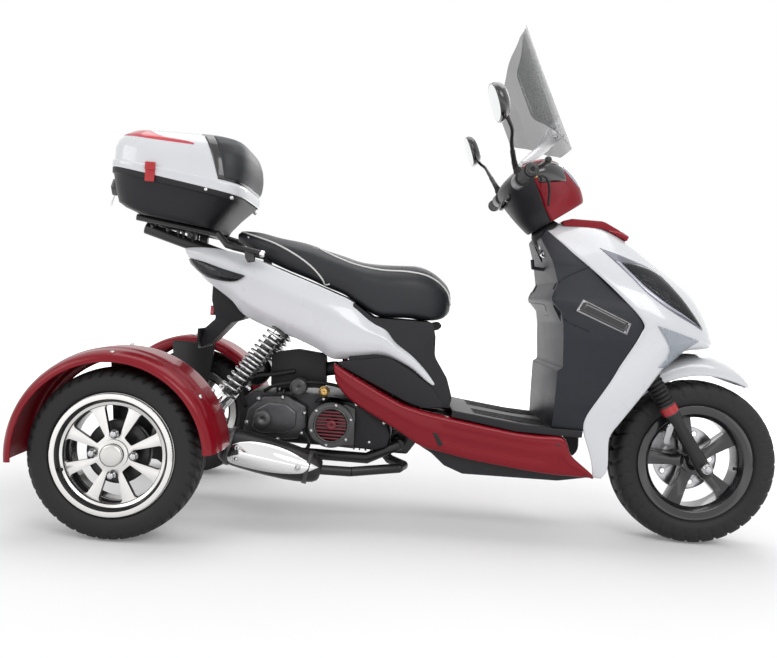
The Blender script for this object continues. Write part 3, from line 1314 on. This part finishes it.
for x in rackPeg["ahead"]:
    for y in (-rackPeg["aside"], rackPeg["aside"]):
        top = boxLevel(x) - rackPeg["sink"]
        pegs.append(spun("peg", [(0, 5), (14, 5), (15, 3.6), (30, 3.4), (31, 2)], at(x, y, top), (0.12, 0, -1),
                         "chassis", finishes["blackMetal"], steps=14))
joined("rack_pegs", pegs)
railEnds = []
for side in (-1, 1):
    railEnds.append(spun("railEnd", [(0, 9.4), (3, 9.6), (9, 9.2), (13, 6), (14, 1)], at(270, side * 163.5, 727.4),
                         (0.98, side * 0.11, -0.15), "chassis", finishes["chrome"], steps=28))
    railEnds.append(slab("railFoot", [(226, 738), (254, 734), (256, 704), (238, 700), (230, 712)], side * 168,
                         side * 150, "chassis", finishes["blackMetal"], 2.5))
joined("rail_ends", railEnds)
print("load box made")

# Fork legs
leg = {"tube": 21, "gaiterFrom": 206, "gaiterTo": 330, "ribs": 10, "spread": 100}


def makeForkLeg(side, word):
    foot = steer(stance["offset"], side * leg["spread"], 0)
    up = (steer(0, 0, 100) - steer(0, 0, 0)).normalized()
    lower = [(-32, 8), (-30, 17), (-20, 20), (20, 21), (34, 21), (40, 19.2), (150, 19.2), (158, 21), (172, 21),
             (173, 22.5), (205, 22.5), (206, 17)]
    bits = [spun("lower", lower, foot, up, "steering", finishes["blackMetal"])]
    bits.append(spun("ring", [(176, 22.4), (177, 24), (199, 24), (200, 22.4)], foot, up, "steering",
                     finishes["redPlastic"]))
    section = [(204, 18)]
    pitch = (leg["gaiterTo"] - leg["gaiterFrom"]) / leg["ribs"]
    for i in range(leg["ribs"]):
        base = leg["gaiterFrom"] + i * pitch
        section += [(base, 20.5), (base + pitch * 0.25, 24.5), (base + pitch * 0.5, 25.4),
                    (base + pitch * 0.75, 24.5)]
    section += [(leg["gaiterTo"], 20.5), (leg["gaiterTo"] + 6, 17)]
    bits.append(spun("gaiter", section, foot, up, "steering", finishes["softRubber"]))
    obj = joined("fork_leg_shape_" + word, bits)
    modify(obj, "EDGE_SPLIT", split_angle=math.radians(50))
    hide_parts("fork_leg_" + word)
    reflect = [(-34, 148), (-16, 156), (-14, 140), (-52, 108), (-62, 112), (-60, 122)]
    pts = [steer(stance["offset"] + a, side * 106, u) for a, u in reflect]
    pts2 = [p + Vector((0, side * 0.004, 0)) for p in pts]
    n = len(pts)
    faces = [tuple(range(n)), tuple(range(n, 2 * n))] + [(i, (i + 1) % n, n + (i + 1) % n, n + i) for i in range(n)]
    clip = newObject("reflector_bracket_" + word, pts + pts2, faces, "steering", finishes["castMetal"])
    softEdges(clip, width=1.2, segments=2)
    joined("axle_nut_" + word, [
        hexBolt("nut", at(1540, side * 136, 235), (0, side, 0), 9, 9, "steering", finishes["steel"]),
        spun("pinch", [(0, 4), (6, 4)], steer(stance["offset"] + 18, side * 104, 8), (0, side, 0), "steering",
             finishes["steel"], steps=12)])


for side, word in ((-1, "right"), (1, "left")):
    makeForkLeg(side, word)
print("fork made")

# Shock absorbers with wound springs
shock = {"top": (352, 548), "foot": (134, 250), "aside": 116, "coil": 25.5, "wire": 4.0, "turns": 13}


def makeShock(side, word):
    s = shock
    foot, head = at(s["foot"][0], side * s["aside"], s["foot"][1]), at(s["top"][0], side * s["aside"], s["top"][1])
    run = (head - foot).normalized()
    length = (head - foot).length * 1000
    bits = [
        spun("body", [(14, 6), (15, 12), (30, 12), (32, 13.5), (108, 13.5), (110, 12), (length - 30, 12)],
             foot, run, "chassis", finishes["chrome"]),
        spun("seat", [(108, 14), (109, 30), (114, 30), (116, 24), (117, 14)],
             foot, run, "chassis", finishes["steel"]),
        spun("damper", [(117, 15), (length - 60, 15)], foot, run, "chassis", finishes["blackMetal"]),
        spun("cap", [(length - 38, 14), (length - 37, 30), (length - 31, 30), (length - 27, 20), (length - 14, 14)],
             foot, run, "chassis", finishes["blackMetal"])]
    for end, r in ((foot, 8.3), (head, 9.3)):
        bits.append(turned("eye", [(-14, r), (14, r), (14, 16), (-14, 16)], end, "chassis", finishes["blackMetal"],
                           steps=32))
    for end in (foot, head):
        bits.append(hexBolt("bolt", end + Vector((0, side * 0.015, 0)), (0, side, 0), 8, 8, "chassis",
                            finishes["steel"]))
    a = run.orthogonal().normalized()
    b = run.cross(a)
    pts = []
    low, high = 119, length - 42
    steps = s["turns"] * 18
    for i in range(steps + 1):
        t = i / steps
        w = 2 * math.pi * s["turns"] * t
        lie = low + (high - low) * (t + 0.035 * math.sin(2 * math.pi * t))
        pts.append(foot + run * lie / 1000 + (a * math.cos(w) + b * math.sin(w)) * s["coil"] / 1000)
    bits.append(tube("spring", pts, s["wire"], "chassis", finishes["steel"], sides=8, smooth=False))
    obj = joined("shock_shape_" + word, bits)
    modify(obj, "EDGE_SPLIT", split_angle=math.radians(55))
    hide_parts("shock_" + word)


for side, word in ((-1, "right"), (1, "left")):
    makeShock(side, word)
print("shocks made")

# Engine details, seen between the rear wheel and the floor. The fan's centre and the fins in millimetres
fan = {"x": 497, "z": 277, "radius": 43, "slats": 9, "pitch": 9, "slatHalf": 2.2, "bolts": 6, "boltCircle": 56,
       "boltTurn": 20}
cylinder = {"fins": 11, "first": 566, "pitch": 9.5, "thick": 3, "stagger": 4}


def makeFanGrille():
    bits = []
    x, z, half = fan["x"], fan["z"], fan["slatHalf"]
    for i in range(fan["slats"]):
        up = fan["pitch"] * (i - (fan["slats"] - 1) / 2)
        w = math.sqrt(fan["radius"] ** 2 - up * up) - 1.5
        pts = [(x - w, z + up - half), (x + w, z + up - half), (x + w, z + up + half), (x - w, z + up + half)]
        bits.append(slab("slat", pts, -161.5, -155, "chassis", finishes["grilleRed"], 0.8))
    bits.append(turned("hub", [(-163, 3), (-163, 12), (-160, 14), (-156, 14), (-156, 3)], at(x, 0, z), "chassis",
                       finishes["grilleRed"], steps=32))
    bits.append(turned("rim", [(-162, 43), (-163, 46), (-162, 49), (-157, 50), (-157, 43)], at(x, 0, z), "chassis",
                       finishes["blackGloss"], steps=64))
    for k in range(fan["bolts"]):
        a = math.radians(360 / fan["bolts"] * k + fan["boltTurn"])
        place = at(x + fan["boltCircle"] * math.cos(a), -160, z + fan["boltCircle"] * math.sin(a))
        bits.append(hexBolt("bolt", place, (0, -1, 0), 3.6, 4, "chassis", finishes["steel"]))
    joined("fan_grille", bits)


def makeCylinder():
    # finned barrel and head in front of the crankcase, every second fin larger
    bits = []
    for i in range(cylinder["fins"]):
        x = cylinder["first"] + i * cylinder["pitch"]
        grow = cylinder["stagger"] if i % 2 else 0
        bits.append(plate("fin", (x, -88 - grow, 206 - grow), (x + cylinder["thick"], 88 + grow, 300 + grow),
                          "chassis", finishes["castMetal"], 1.0, 1))
    bits.append(plate("barrel", (560, -78, 214), (668, 78, 292), "chassis", finishes["engineMetal"], 6))
    bits.append(plate("head", (664, -70, 210), (692, 70, 296), "chassis", finishes["castMetal"], 8))
    joined("cylinder_fins", bits)


caseBolts = [(262, 262), (290, 330), (356, 338), (420, 300), (416, 244), (350, 222), (288, 226)]
shroudBolts = [(604, 236), (640, 292), (470, 344), (560, 336)]


def makeCrankcase():
    # gear case and casting bosses behind the fan
    bits = []
    bits.append(slab("gearCase", [(252, 238), (262, 300), (300, 338), (372, 344), (424, 318), (430, 262),
                                  (402, 226), (300, 214)], -128, -90, "chassis", finishes["engineMetal"], 7))
    bits.append(slab("gearRib", [(276, 250), (284, 300), (318, 322), (368, 322), (398, 300), (398, 262),
                                 (370, 240), (300, 236)], -136, -126, "chassis", finishes["engineMetal"], 5))
    bits.append(turned("boss", [(-146, 0.5), (-146, 18), (-142, 24), (-130, 26), (-130, 0.5)], at(306, 0, 276),
                       "chassis", finishes["engineMetal"], steps=40))
    bits.append(turned("starter", [(-150, 0.5), (-150, 20), (-146, 24), (-90, 24), (-90, 0.5)], at(398, 0, 372),
                       "chassis", finishes["blackMetal"], steps=40))
    bits.append(turned("brassCap", [(-158, 0.5), (-158, 7), (-155, 11), (-144, 12), (-144, 15), (-136, 15),
                                    (-136, 0.5)], at(470, 0, 366), "chassis", finishes["brass"], steps=32))
    bits.append(slab("shroud", [(440, 330), (470, 352), (560, 346), (640, 318), (662, 262), (654, 226), (620, 214),
                                (560, 216), (556, 322), (500, 344)], -140, -92, "chassis", finishes["blackPlastic"],
                     8))
    for x, z in caseBolts:
        bits.append(hexBolt("bolt", at(x, -127, z), (0, -1, 0), 4.6, 7, "chassis", finishes["steel"]))
    for x, z in shroudBolts:
        bits.append(hexBolt("bolt", at(x, -139, z), (0, -1, 0), 3.8, 5, "chassis", finishes["steel"]))
    for k in range(6):
        bits.append(plate("rib", (560 + k * 16, -100, 204), (564 + k * 16, 96, 214), "chassis",
                          finishes["engineMetal"], 1, 1))
    for x in (330, 352, 374):
        bits.append(plate("caseRib", (x, -112, 344), (x + 5, -60, 358), "chassis", finishes["engineMetal"], 1.5))
    joined("engine_castings", bits)


# Hoses: their points and radius
hoses = [
    ([(300, -96, 350), (340, -118, 372), (420, -112, 384), (500, -100, 380), (560, -90, 356)], 5),
    ([(250, -92, 300), (236, -104, 340), (262, -100, 384), (330, -92, 398), (380, -86, 410)], 6),
    ([(612, -96, 300), (640, -116, 330), (664, -96, 364), (650, -60, 400)], 6),
    ([(420, -128, 250), (440, -150, 226), (430, -140, 200), (400, -120, 196)], 5),
    ([(300, -110, 230), (250, -128, 214), (210, -120, 226), (176, -104, 240)], 6),
    ([(660, -70, 240), (690, -92, 222), (706, -86, 250), (700, -70, 300)], 5)]


def makeIntake():
    # air duct, carburettor, hoses and the dome of the air box
    bits = []
    bits.append(tube("duct", [at(464, -50, 420), at(500, -60, 424), at(530, -56, 400), at(540, -40, 370)], 20,
                     "chassis", finishes["softRubber"], sides=20))
    bits.append(spun("carb", [(0, 14), (4, 19), (30, 19), (34, 15), (56, 15), (58, 18), (66, 18)],
                     at(540, -44, 378), (0.35, 0, -0.9), "chassis", finishes["castMetal"]))
    bits.append(slab("bowl", [(530, 330), (572, 330), (572, 352), (530, 352)], -66, -22, "chassis",
                     finishes["castMetal"], 5))
    for pts, r in hoses:
        bits.append(tube("hose", [at(*p) for p in pts], r, "chassis", finishes["softRubber"], sides=12))
    bits.append(spun("cap", [(0, 9), (8, 9), (9, 6), (22, 6)], at(676, -84, 244), (0.3, -1, 0.1), "chassis",
                     finishes["softRubber"]))
    joined("engine_hoses", bits)
    dome = spun("airbox_dome", [(0, 44), (10, 46), (26, 44), (40, 36), (50, 22), (54, 1)], at(262, -30, 400),
                (0, -1, 0.12), "chassis", finishes["blackGloss"], steps=48)
    softEdges(dome, 1)


makeFanGrille()
makeCylinder()
makeCrankcase()
makeIntake()
print("engine made")

# Muffler barrel with its leaf shaped shield
muffler = {"back": (216, -206.0, 212), "front": (478, -206.0, 162), "radius": 51}


def makeMuffler():
    m = muffler
    back, front = at(*m["back"]), at(*m["front"])
    run = (front - back).length * 1000
    r = m["radius"]
    section = [(-8, 14), (-6, 30), (0, 40), (16, 48), (50, r), (run * 0.55, r), (run * 0.8, r - 5),
               (run - 4, r - 15), (run + 6, 22)]
    barrel = spun("muffler_barrel", section, back, front - back, "chassis", finishes["blackMetal"], steps=72)
    modify(barrel, "SUBSURF", levels=1, render_levels=1)
    target = evaluatedCopy(barrel, "rayMuffler")
    leaf = patch("muffler_leaf", target, [(232, 192), (252, 222), (304, 232), (382, 221), (478, 175)],
                 [(232, 192), (240, 174), (272, 164), (350, 154), (430, 157), (478, 175)], "chassis",
                 finishes["chrome"], along=48, count=20, lift=1.5, bulge=7, thick=2.0)
    modify(leaf, "SUBSURF", levels=1, render_levels=1)
    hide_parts("muffler_shield")
    bits = []
    leafTarget = evaluatedCopy(leaf, "rayLeaf")
    for x, z in ((266, 214), (262, 184), (424, 174)):
        seat = cast(leafTarget, at(x, 0, z).x, z / 1000, -1, -0.5)
        bits.append(spun("dish", [(0, 9), (1.2, 9.4), (1.6, 8), (0.9, 5), (0.9, 1)], seat, (0, -1, 0), "chassis",
                         finishes["steel"], steps=32))
        bits.append(hexBolt("bolt", seat + Vector((0, -0.0006, 0)), (0, -1, 0), 4.4, 5, "chassis",
                            finishes["steel"], sides=20))
    for along in (0.06, 0.86):
        spot = back.lerp(front, along)
        w = r + (1 if along < 0.5 else -6)
        bits.append(spun("strap", [(0, w - 3), (0, w), (12, w), (12, w - 3)], spot, front - back, "chassis",
                         finishes["blackMetal"], steps=64, caps=False))
    joined("leaf_bolts", bits)


makeMuffler()
print("muffler made")

# Mirrors
mirror = {"base": (0, 190, 944), "head": (-8, 330, 1134), "wide": 62, "high": 47, "deep": 22}


def makeMirror(side, word):
    m = mirror
    centre = steer(m["head"][0], side * m["head"][1], m["head"][2])
    ahead = (steer(100, 0, 0) - steer(0, 0, 0)).normalized()
    ahead = (ahead + Vector((0, 0, -0.25))).normalized()
    across = Vector((0, 1, 0))
    up = ahead.cross(across).normalized()
    if up.z < 0:
        up = -up
    rows = []
    count = 36
    for share, deep in ((1.0, -9), (1.03, -6), (1.03, 0), (0.97, 8), (0.82, 16), (0.58, 22), (0.30, 25.5),
                        (0.02, 27)):
        row = []
        for k in range(count):
            w = 2 * math.pi * k / count
            c, s = math.cos(w), math.sin(w)
            y = m["wide"] * share * math.copysign(abs(c) ** 0.8, c)
            z = m["high"] * share * math.copysign(abs(s) ** 0.85, s) * (1 - 0.12 * c * side)
            row.append(centre + across * y / 1000 + up * z / 1000 + ahead * deep / 1000)
        rows.append(row)
    head = skin("head", rows, "steering", finishes["blackGloss"], closeColumns=True, caps=True)
    stem = tube("stem", [steer(-22, side * 190, 966), steer(-21, side * 196, 990), steer(-12, side * 244, 1036),
                         steer(-4, side * 290, 1062), steer(-6, side * 322, 1090), centre + ahead * 0.012],
                [8, 7, 5.5, 5, 5, 5, 6], "steering", finishes["blackMetal"], sides=16, count=60)
    boot = spun("boot", [(0, 12), (8, 12), (16, 9), (22, 8)], steer(-22, side * 190, 963),
                steer(0, 0, 100) - steer(0, 0, 0), "steering", finishes["softRubber"])
    whole = joined("mirror_shape_" + word, [head, stem, boot])
    modify(whole, "EDGE_SPLIT", split_angle=math.radians(50))
    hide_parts("mirror_" + word)
    rows = []
    for share in (0.94, 0.6, 0.3, 0.02):
        row = []
        for k in range(count):
            w = 2 * math.pi * k / count
            c, s = math.cos(w), math.sin(w)
            y = m["wide"] * share * math.copysign(abs(c) ** 0.8, c)
            z = m["high"] * share * math.copysign(abs(s) ** 0.85, s) * (1 - 0.12 * c * side)
            row.append(centre + across * y / 1000 + up * z / 1000 + ahead * (-9.6 - 1.2 * (1 - share)) / 1000)
        rows.append(row)
    skin("mirror_glass_" + word, rows, "steering", finishes["mirrorGlass"], closeColumns=True, caps=False)


for side, word in ((-1, "right"), (1, "left")):
    makeMirror(side, word)
print("mirrors made")

# Handlebar: ribbed grips, levers, switch housings
def makeGrip(side, word):
    section = [(0, 12), (1, 21), (5, 21), (6, 17)]
    for i in range(16):
        x = 8 + i * 7
        section += [(x, 16.2), (x + 1, 17.4), (x + 5, 17.4), (x + 6, 16.2)]
    section += [(122, 17.4), (124, 19), (128, 19), (130, 17.5), (131, 10)]
    origin = steer(-29, side * 232, 944)
    obj = spun("grip_shape_" + word, section, origin, (0, side, 0), "steering", finishes["softRubber"])
    modify(obj, "EDGE_SPLIT", split_angle=math.radians(40))
    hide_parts("grip_" + word)
    spun("bar_end_" + word, [(130.5, 8), (131, 14.5), (136, 15.5), (143, 14.5), (145, 11), (145.2, 5), (141, 4.5)],
         origin, (0, side, 0), "steering", finishes["blackMetal"])


for side, word in ((-1, "right"), (1, "left")):
    makeGrip(side, word)
cable = {"radius": 3.4, "line": [(6, 200, 936), (36, 176, 920), (40, 140, 890), (20, 112, 850)],
         "ferrule": [(0, 4.5), (16, 4.5), (17, 3.4)]}
cableBits = []
for side in (-1, 1):
    cableBits.append(tube("cable", [steer(ahead, side * aside, up) for ahead, aside, up in cable["line"]],
                          cable["radius"], "steering", finishes["softRubber"], sides=10))
    cableBits.append(spun("ferrule", cable["ferrule"], steer(0, side * 204, 938),
                          steer(30, -side * 20, -14) - steer(0, 0, 0), "steering", finishes["brass"], steps=16))
joined("control_cables", cableBits)
print("handlebar made")


# Side skirts: columns are x and z of the top edge, then of the bottom edge
skirtRows = [
    (493, 448, 499, 402), (520, 434, 520, 372), (560, 413, 556, 343), (620, 383, 612, 313), (684, 354, 664, 286),
    (720, 345, 706, 262), (752, 338, 748, 240), (810, 329, 806, 228), (880, 319, 880, 214.5), (940, 311, 946, 207),
    (997, 304, 1010, 200), (1060, 301, 1066, 195), (1128, 299, 1113, 192), (1152, 252, 1150, 192.5),
    (1209, 207, 1205, 192.5), (1213, 196, 1212, 193)]
# Columns: share of the way down, how far the face leans in
skirtFace = [(0, 34), (0.002, 8), (0.05, 2.5), (0.12, 0), (0.46, 0), (0.52, 2.5), (0.9, 7), (0.97, 11), (0.998, 15),
             (1.0, 34)]
skirt = {"half": 186, "recess": 2.6}


def makeSkirt():
    rows = []
    shares = [0, 0.002, 0.05, 0.12, 0.2, 0.24, 0.28, 0.36, 0.46, 0.52, 0.6, 0.66, 0.70, 0.74, 0.82, 0.9, 0.97,
              0.998, 1]
    for xt, zt, xb, zb in smoothTable(skirtRows, 90):
        row = []
        for t in shares:
            x, z = xt + (xb - xt) * t, zt + (zb - zt) * t
            sunk = skirt["recess"] * blend01(x, 796, 808) * (1 - blend01(x, 1040, 1110))
            sunk *= blend01(t, 0.2, 0.27) * (1 - blend01(t, 0.68, 0.74))
            row.append(at(x, -(skirt["half"] - leanIn(t, skirtFace) - sunk), z))
        rows.append(row)
    obj = skin("skirt_right", rows, "chassis", finishes["redPaint"], thick=2.6)
    modify(obj, "SUBSURF", levels=1, render_levels=1)
    return applied(obj)


rightSkirt = makeSkirt()
leftSkirt = mirrorCopy(rightSkirt, "skirt_left")
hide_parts("side_skirt_right")
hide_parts("side_skirt_left")
for side, word in ((-1, "right"), (1, "left")):
    joined("skirt_slot_" + word, [
        slab("slot", [(764, 298), (773, 303), (803, 252), (793, 247)], side * 180, side * 184.4, "chassis",
             finishes["softRubber"], 1.2),
        hexBolt("bolt", at(1112, side * 184.5, 278), (0, side, 0), 3.6, 4, "chassis", finishes["blackMetal"]),
        hexBolt("bolt", at(1196, side * 178, 202), (0, side, 0), 3.6, 5, "chassis", finishes["blackMetal"])])
floorRib = {"count": 11, "first": -140, "pitch": 28, "clear": 40, "half": 4, "edge": 1.2,
            "side": [(884, 337), (1014, 324), (1088, 320.5), (1088, 324), (1014, 328.5), (884, 342)]}
ribBits = []
for k in range(floorRib["count"]):
    y = floorRib["first"] + floorRib["pitch"] * k
    if abs(y) > floorRib["clear"]:
        ribBits.append(slab("rib", floorRib["side"], y - floorRib["half"], y + floorRib["half"], "chassis",
                            finishes["softRubber"], floorRib["edge"]))
joined("floor_ribs", ribBits)
print("skirts made")

# Covers on the handlebar. Columns: height up the steering line, reach, half width
redRows = [(806, 132, 60), (814, 139, 64), (846, 148, 74), (872, 147, 92), (896, 142, 112),
           (918, 135, 128), (938, 124, 138), (954, 112, 136), (966, 99, 126), (975, 84, 108), (981, 64, 82),
           (984, 40, 50), (984.5, 22, 8)]
blackRows = [(806, -46, 58), (814, -50, 62), (846, -58, 73), (872, -62, 92), (900, -65, 115),
             (920, -66, 129), (938, -65, 138), (952, -61, 136), (962, -54, 126), (970, -40, 108), (977, -20, 86),
             (982, 0, 50), (983, 10, 8)]
cover = {"columns": 33, "root": 17, "square": 2.3}


def makeCover(name, table, finish):
    rows = []
    for up, reach, half in smoothTable(table, 44):
        row = []
        for k in range(cover["columns"]):
            a = math.pi * (k / (cover["columns"] - 1) - 0.5)
            c, s = max(math.cos(a), 0), math.sin(a)
            aside = half * math.copysign(abs(s) ** (2 / cover["square"]), s)
            row.append(steer(cover["root"] + (reach - cover["root"]) * c ** (2 / cover["square"]), aside, up))
        rows.append(row)
    obj = skin(name, rows, "steering", finish)
    modify(obj, "SUBSURF", levels=1, render_levels=1)
    return applied(obj)


redCover = makeCover("cover_front", redRows, finishes["redPaint"])
blackCover = makeCover("cover_rear", blackRows, finishes["blackPlastic"])
coverTarget = evaluatedCopy(redCover, "rayCover")
for side, word in ((-1, "right"), (1, "left")):
    patch("cover_opening_" + word, coverTarget, [(30, 966), (62, 962), (92, 948), (116, 926)],
          [(26, 916), (44, 908), (72, 896), (104, 884)], "steering", finishes["blackGloss"], along=24, count=9,
          lift=0.8, bulge=2.5, thick=1.2, place=steer, side=side)
    patch("cover_lamp_" + word, coverTarget, [(127, 925), (139, 890), (145, 856)],
          [(112, 918), (126, 882), (137, 850)], "steering", finishes["lampTrim"], along=18, count=6, lift=1.0,
          bulge=2.0, thick=1.2, place=steer, side=side)
for obj in (redCover, blackCover):
    modify(obj, "SOLIDIFY", thickness=0.003, offset=-1)
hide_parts("handlebar_cover")
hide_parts("instrument_cover")
dial = [spun("rim", [(-4, 40), (4, 42), (7, 41), (8, 38), (3, 36), (2, 1)], steer(-50, 0, 934),
             steer(-55, 0, 60) - steer(0, 0, 0), "steering", finishes["blackGloss"], steps=64)]
for y in (-62, 62):
    dial.append(spun("rim", [(-4, 17), (4, 18), (6, 16), (3, 14), (2, 1)], steer(-52, y, 930),
                     steer(-55, 0, 60) - steer(0, 0, 0), "steering", finishes["blackGloss"], steps=40))
joined("dials", dial)
bootRows = [(700, 30), (704, 45), (720, 48), (738, 45), (746, 48), (764, 45), (772, 48), (792, 44), (806, 36)]
spun("stem_boot", bootRows, steer(0, 0, 0), steer(0, 0, 100) - steer(0, 0, 0), "steering", finishes["softRubber"],
     steps=48)
print("covers made")

# Inner leg shield details
shieldTarget = evaluatedCopy(nodes["leg_shield"], "rayShield")
for side, word in ((-1, "right"), (1, "left")):
    for number, (line, r) in enumerate((
            ([(-476, 438), (-460, 480), (-424, 506), (-372, 532)], 2.6),
            ([(-474, 430), (-456, 398), (-430, 376), (-372, 354)], 1.8))):
        pts = [cast(shieldTarget, nose(q.x, 0, q.y).x, nose(q.x, 0, q.y).z, side, 0.4)
               for q in smoothLine([(p[0], p[1], 0) for p in line], 20)]
        tube("pocket_edge_" + word + "_" + str(number + 1), pts, r, "chassis", finishes["navyPlastic"], sides=10,
             count=60)
# The blank data plate in its frame, with four rivets
dataPlate = {"frame": ([(-394, 438), (-262, 384)], [(-412, 406), (-272, 353)]),
             "plate": ([(-391, 434), (-267, 383)], [(-406, 408), (-275, 357)]),
             "rivets": [(-392, 431), (-269, 381), (-404, 411), (-278, 360)]}
tag = [patch("frame", shieldTarget, *dataPlate["frame"], "chassis", finishes["castMetal"], along=12, count=5,
             lift=1.0, thick=0.8, place=nose),
       patch("plate", shieldTarget, *dataPlate["plate"], "chassis", finishes["blackGloss"], along=12, count=5,
             lift=1.5, thick=0.6, place=nose)]
for x, z in dataPlate["rivets"]:
    spot = nose(x, 0, z)
    tag.append(hexBolt("rivet", cast(shieldTarget, spot.x, spot.z, -1, 1.0), (0, -1, 0), 1.6, 2, "chassis",
                       finishes["steel"], sides=12))
joined("blank_plate", tag)
joined("ignition_lock", [
    spun("collar", [(0, 14), (2, 19), (20, 19), (24, 17), (26, 12), (22, 10), (22, 1)], nose(-466, -46, 562.3),
         (-40, 0, 18), "chassis", finishes["chrome"]),
    plate("key", (1040, -47, 808), (1050, -45, 820), "chassis", finishes["steel"], 0.4, 1)])
trimLoop = [nose(-262 + 9 * math.cos(math.radians(a)), 0, 640 + 9 * math.sin(math.radians(a)))
            for a in range(-30, 211, 20)]
tube("trim_loop", trimLoop, 1.8, "chassis", finishes["chrome"], sides=10, count=40)
print("leg shield details made")

# Screen clamps, tail reflector and plate bolts
clampBits = []
for side in (-1, 1):
    for ahead, up in ((150, 1008), (158, 1032)):
        clampBits.append(hexBolt("bolt", steer(ahead, side * 50, up), (0, side, 0), 4, 6, "steering",
                                 finishes["steel"], sides=20))
joined("screen_bolts", clampBits)
tailBits = [plate("reflector", (115, -24, 546), (127, 24, 574), "chassis", finishes["redBand"], 2.4)]
for y in (-73, 73):
    tailBits.append(hexBolt("bolt", at(99.4, y, 488), (-1, 0, 0), 4.5, 5, "chassis", finishes["steel"]))
joined("tail_reflectors", tailBits)
drop(*rayTargets)

# Rounded edges on the frame's own shapes
nodeEdge = {"handlebar_cover": 5.0, "instrument_cover": 4.0, "center_cover": 4.0, "belly_pan": 4.0,
            "nose_trim": 2.0, "leg_shield": 1.2, "footboard": 2.0, "air_box": 4.0, "fan_cover": 3.0, "engine": 3.0,
            "drive_case": 4.0, "muffler_shield": 1.0, "brake_caliper": 3.0, "tail_bracket": 2.0}
for nodeName, node in nodes.items():
    if not node.hide_render:
        modify(node, "WELD", merge_threshold=0.00002)
        softEdges(node, width=nodeEdge.get(nodeName, 1.0), segments=3 if nodeName in nodeEdge else 2, angle=30)
        node.data.shade_smooth()

print("all pieces made")
